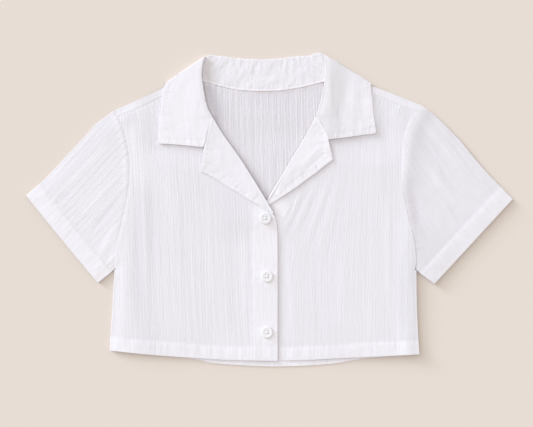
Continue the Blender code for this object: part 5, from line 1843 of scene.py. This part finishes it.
def thread_cross():
    """Two strands over the holes, each of several threads, one across the other."""
    verts, faces = [], []
    sides = 8
    for strand, (angle, lift_by) in enumerate(((45, 0.0), (135, 0.34))):
        a = math.radians(angle)
        d, w = np.array((math.cos(a), math.sin(a))), np.array((-math.sin(a), math.cos(a)))
        reach = BUTTON_HOLE_PITCH / math.sqrt(2)
        for k, shift in enumerate((-0.56, -0.28, 0.0, 0.28, 0.56)):
            base = len(verts)
            ts = np.linspace(-1, 1, 25)
            for t in ts:
                along_ = reach * (t + 0.06 * math.sin(3 * t + k))
                z = 2.06 + (0.50 + lift_by * math.exp(-(t / 0.35) ** 2)) * (1 - abs(t) ** 2.2) - 2.4 * max(0, abs(t) - 0.88) / 0.12 * 0.5
                spread = shift * (1 - 0.25 * abs(t)) + 0.05 * math.sin(5 * t + 2 * k + strand)
                c = d * along_ + w * spread
                for j in range(sides):
                    b = 2 * math.pi * j / sides
                    q = c + w * (0.17 * math.cos(b))
                    verts.append((q[0], q[1], z + 0.17 * math.sin(b) + 0.04 * ((k + strand) % 2)))
            for i in range(len(ts) - 1):
                for j in range(sides):
                    p, q = base + i * sides + j, base + i * sides + (j + 1) % sides
                    faces.append((p, q, q + sides, p + sides))
            faces.append(tuple(base + j for j in reversed(range(sides))))
            faces.append(tuple(base + (len(ts) - 1) * sides + j for j in range(sides)))
    # the holes are full of thread
    off = BUTTON_HOLE_PITCH / math.sqrt(2)
    for k in range(4):
        a = math.radians(45 + 90 * k)
        pv, pf = lathe(((0.0, 1.82), (0.45, 1.78), (0.84, 1.60), (0.86, 0.30), (0.0, 0.30)), 14)
        base = len(verts)
        verts += [(x + off * math.cos(a), y + off * math.sin(a), z) for x, y, z in pv]
        faces += [tuple(base + i for i in f) for f in pf]
    return verts, faces


def build_button(number, spin):
    """The resin button at its CAD node's place, finer: turned rim, sunk middle,
    four countersunk holes and the thread that holds it."""
    node = bpy.data.objects[f"button_{number}"]
    at = np.array([tuple(node.matrix_world @ v.co) for v in node.data.vertices]) / MM
    centre = (at.min(0) + at.max(0)) / 2
    axis = np.linalg.svd(at - at.mean(0), full_matrices=False)[2][2]
    axis = axis if axis[2] > 0 else -axis
    turn = Vector((0, 0, 1)).rotation_difference(Vector(axis)).to_matrix() @ Matrix.Rotation(math.radians(spin), 3, "Z")
    place = lambda verts: [tuple(turn @ Vector((x, y, z - BUTTON_T / 2)) + Vector(centre)) for x, y, z in verts]
    r = BUTTON_D / 2
    profile = rounded(((0.0, 2.36), (5.2, 2.38), (6.4, BUTTON_T - 0.08), (8.1, BUTTON_T - 0.08),
                       (r, 2.12), (r, 0.75), (r - 1.3, 0.02), (0.0, 0.0)), 6)
    verts, faces = lathe(profile, 88)
    obj = small_mesh(f"button_{number}_resin", place(verts), faces, RESIN)
    hole = BUTTON_HOLE_D / 2
    #  countersunk cutter: radius, height
    cut_profile = ((0.0, 3.4), (hole + 0.9, 3.4), (hole + 0.42, 2.28), (hole + 0.10, 2.02), (hole, 1.8),
                   (hole, 0.4), (hole + 0.35, -0.05), (hole + 0.9, -1.0), (0.0, -1.0))
    cutters = bmesh.new()
    for k in range(4):
        a = math.radians(45 + 90 * k)
        off = BUTTON_HOLE_PITCH / math.sqrt(2)
        cv, cf = lathe(cut_profile, 24)
        cv = place([(x + off * math.cos(a), y + off * math.sin(a), z) for x, y, z in cv])
        part = bm_solid(cv, cf)
        cutters.from_mesh(part)
    cut_mesh = bpy.data.meshes.new(f"button_{number}_holes")
    bmesh.ops.recalc_face_normals(cutters, faces=cutters.faces)
    cutters.to_mesh(cut_mesh)
    cutters.free()
    cutter = bpy.data.objects.new(f"button_{number}_holes", cut_mesh)
    bpy.context.scene.collection.objects.link(cutter)
    tidy = bmesh.new()
    tidy.from_mesh(obj.data)
    bmesh.ops.recalc_face_normals(tidy, faces=tidy.faces)
    tidy.to_mesh(obj.data)
    tidy.free()
    mod = obj.modifiers.new("holes", "BOOLEAN")
    mod.operation, mod.solver, mod.object = "DIFFERENCE", "EXACT", cutter
    bpy.context.view_layer.update()
    done = bpy.data.meshes.new_from_object(obj.evaluated_get(bpy.context.evaluated_depsgraph_get()))
    obj.modifiers.clear()
    obj.data = done
    bpy.data.objects.remove(cutter)
    done.shade_smooth()
    edges = done.attributes.get("sharp_edge") or done.attributes.new("sharp_edge", "BOOLEAN", "EDGE")
    bm = bmesh.new()
    bm.from_mesh(done)
    bm.edges.ensure_lookup_table()
    sharp = [len(e.link_faces) == 2 and e.calc_face_angle(0) > math.radians(38) for e in bm.edges]
    bm.free()
    edges.data.foreach_set("value", sharp)
    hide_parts(f"button_{number}")
    tv, tf = thread_cross()
    small_mesh(f"button_{number}_thread", place(tv), tf, THREAD)
    return obj


for number, spin in ((1, 4), (2, -7), (3, 9)):
    build_button(number, spin)

# --------------------------------------------------- floor, light and camera
floor_mesh = bpy.data.meshes.new("floor")
bm = bmesh.new()
bmesh.ops.create_grid(bm, x_segments=1, y_segments=1, size=3.0)
bm.to_mesh(floor_mesh)
bm.free()
floor = bpy.data.objects.new("floor", floor_mesh)
bpy.context.scene.collection.objects.link(floor)
floor_mat, nt, b = principled("floor_paper", (0.750, 0.679, 0.617), 0.95, 0.0, 0.1)
tc = nt.nodes.new("ShaderNodeTexCoord")
n = nt.nodes.new("ShaderNodeTexNoise")
n.inputs["Scale"].default_value = 3.0
n.inputs["Detail"].default_value = 2.0
nt.links.new(tc.outputs["Object"], n.inputs["Vector"])
mix = nt.nodes.new("ShaderNodeMix")
mix.data_type = "RGBA"
nt.links.new(n.outputs["Fac"], mix.inputs["Factor"])
mix.inputs["A"].default_value = (0.744, 0.673, 0.611, 1)
mix.inputs["B"].default_value = (0.756, 0.685, 0.623, 1)
nt.links.new(mix.outputs["Result"], b.inputs["Base Color"])
floor_mesh.materials.append(floor_mat)

world = bpy.data.worlds.new("studio")
bpy.context.scene.world = world
world.use_nodes = True
bg = world.node_tree.nodes["Background"]
bg.inputs["Color"].default_value = (1.055, 1.0, 0.950, 1.0)
bg.inputs["Strength"].default_value = 0.745


def key_light(name, azimuth, elevation, level, angle, colour):
    """A broad soft source; level is its share of the light on the floor."""
    data = bpy.data.lights.new(name, "SUN")
    data.energy = level * math.pi / math.sin(math.radians(elevation))
    data.angle = math.radians(angle)
    data.color = colour
    lamp = bpy.data.objects.new(name, data)
    bpy.context.scene.collection.objects.link(lamp)
    a, e = math.radians(azimuth), math.radians(elevation)
    to_light = Vector((math.cos(a) * math.cos(e), math.sin(a) * math.cos(e), math.sin(e)))
    lamp.rotation_mode = "QUATERNION"
    lamp.rotation_quaternion = to_light.to_track_quat("Z", "Y")
    lamp.location = to_light * 2.0


#  azimuths from +X towards +Y: all come from the upper left of the view
key_light("key_low", 143.0, 11.0, 0.125, 16.0, (0.88, 1.0, 1.12))
key_light("key_mid", 141.0, 24.0, 0.120, 28.0, (0.88, 1.0, 1.12))
key_light("key_high", 135.0, 52.0, 0.075, 32.0, (0.88, 1.0, 1.12))

cam_data = bpy.data.cameras.new("camera")
cam_data.sensor_width = 36.0
cam_data.lens = 70.0
cam = bpy.data.objects.new("camera", cam_data)
bpy.context.scene.collection.objects.link(cam)
cam.location = (-0.00465, -0.0058, 0.82615 / 36.0 * 70.0 + 0.003)
cam.rotation_euler = (0.0, 0.0, 0.0)
cam_data.clip_start, cam_data.clip_end = 0.05, 20.0
bpy.context.scene.camera = cam
bpy.context.scene.view_settings.view_transform = "Standard"

bpy.context.view_layer.update()
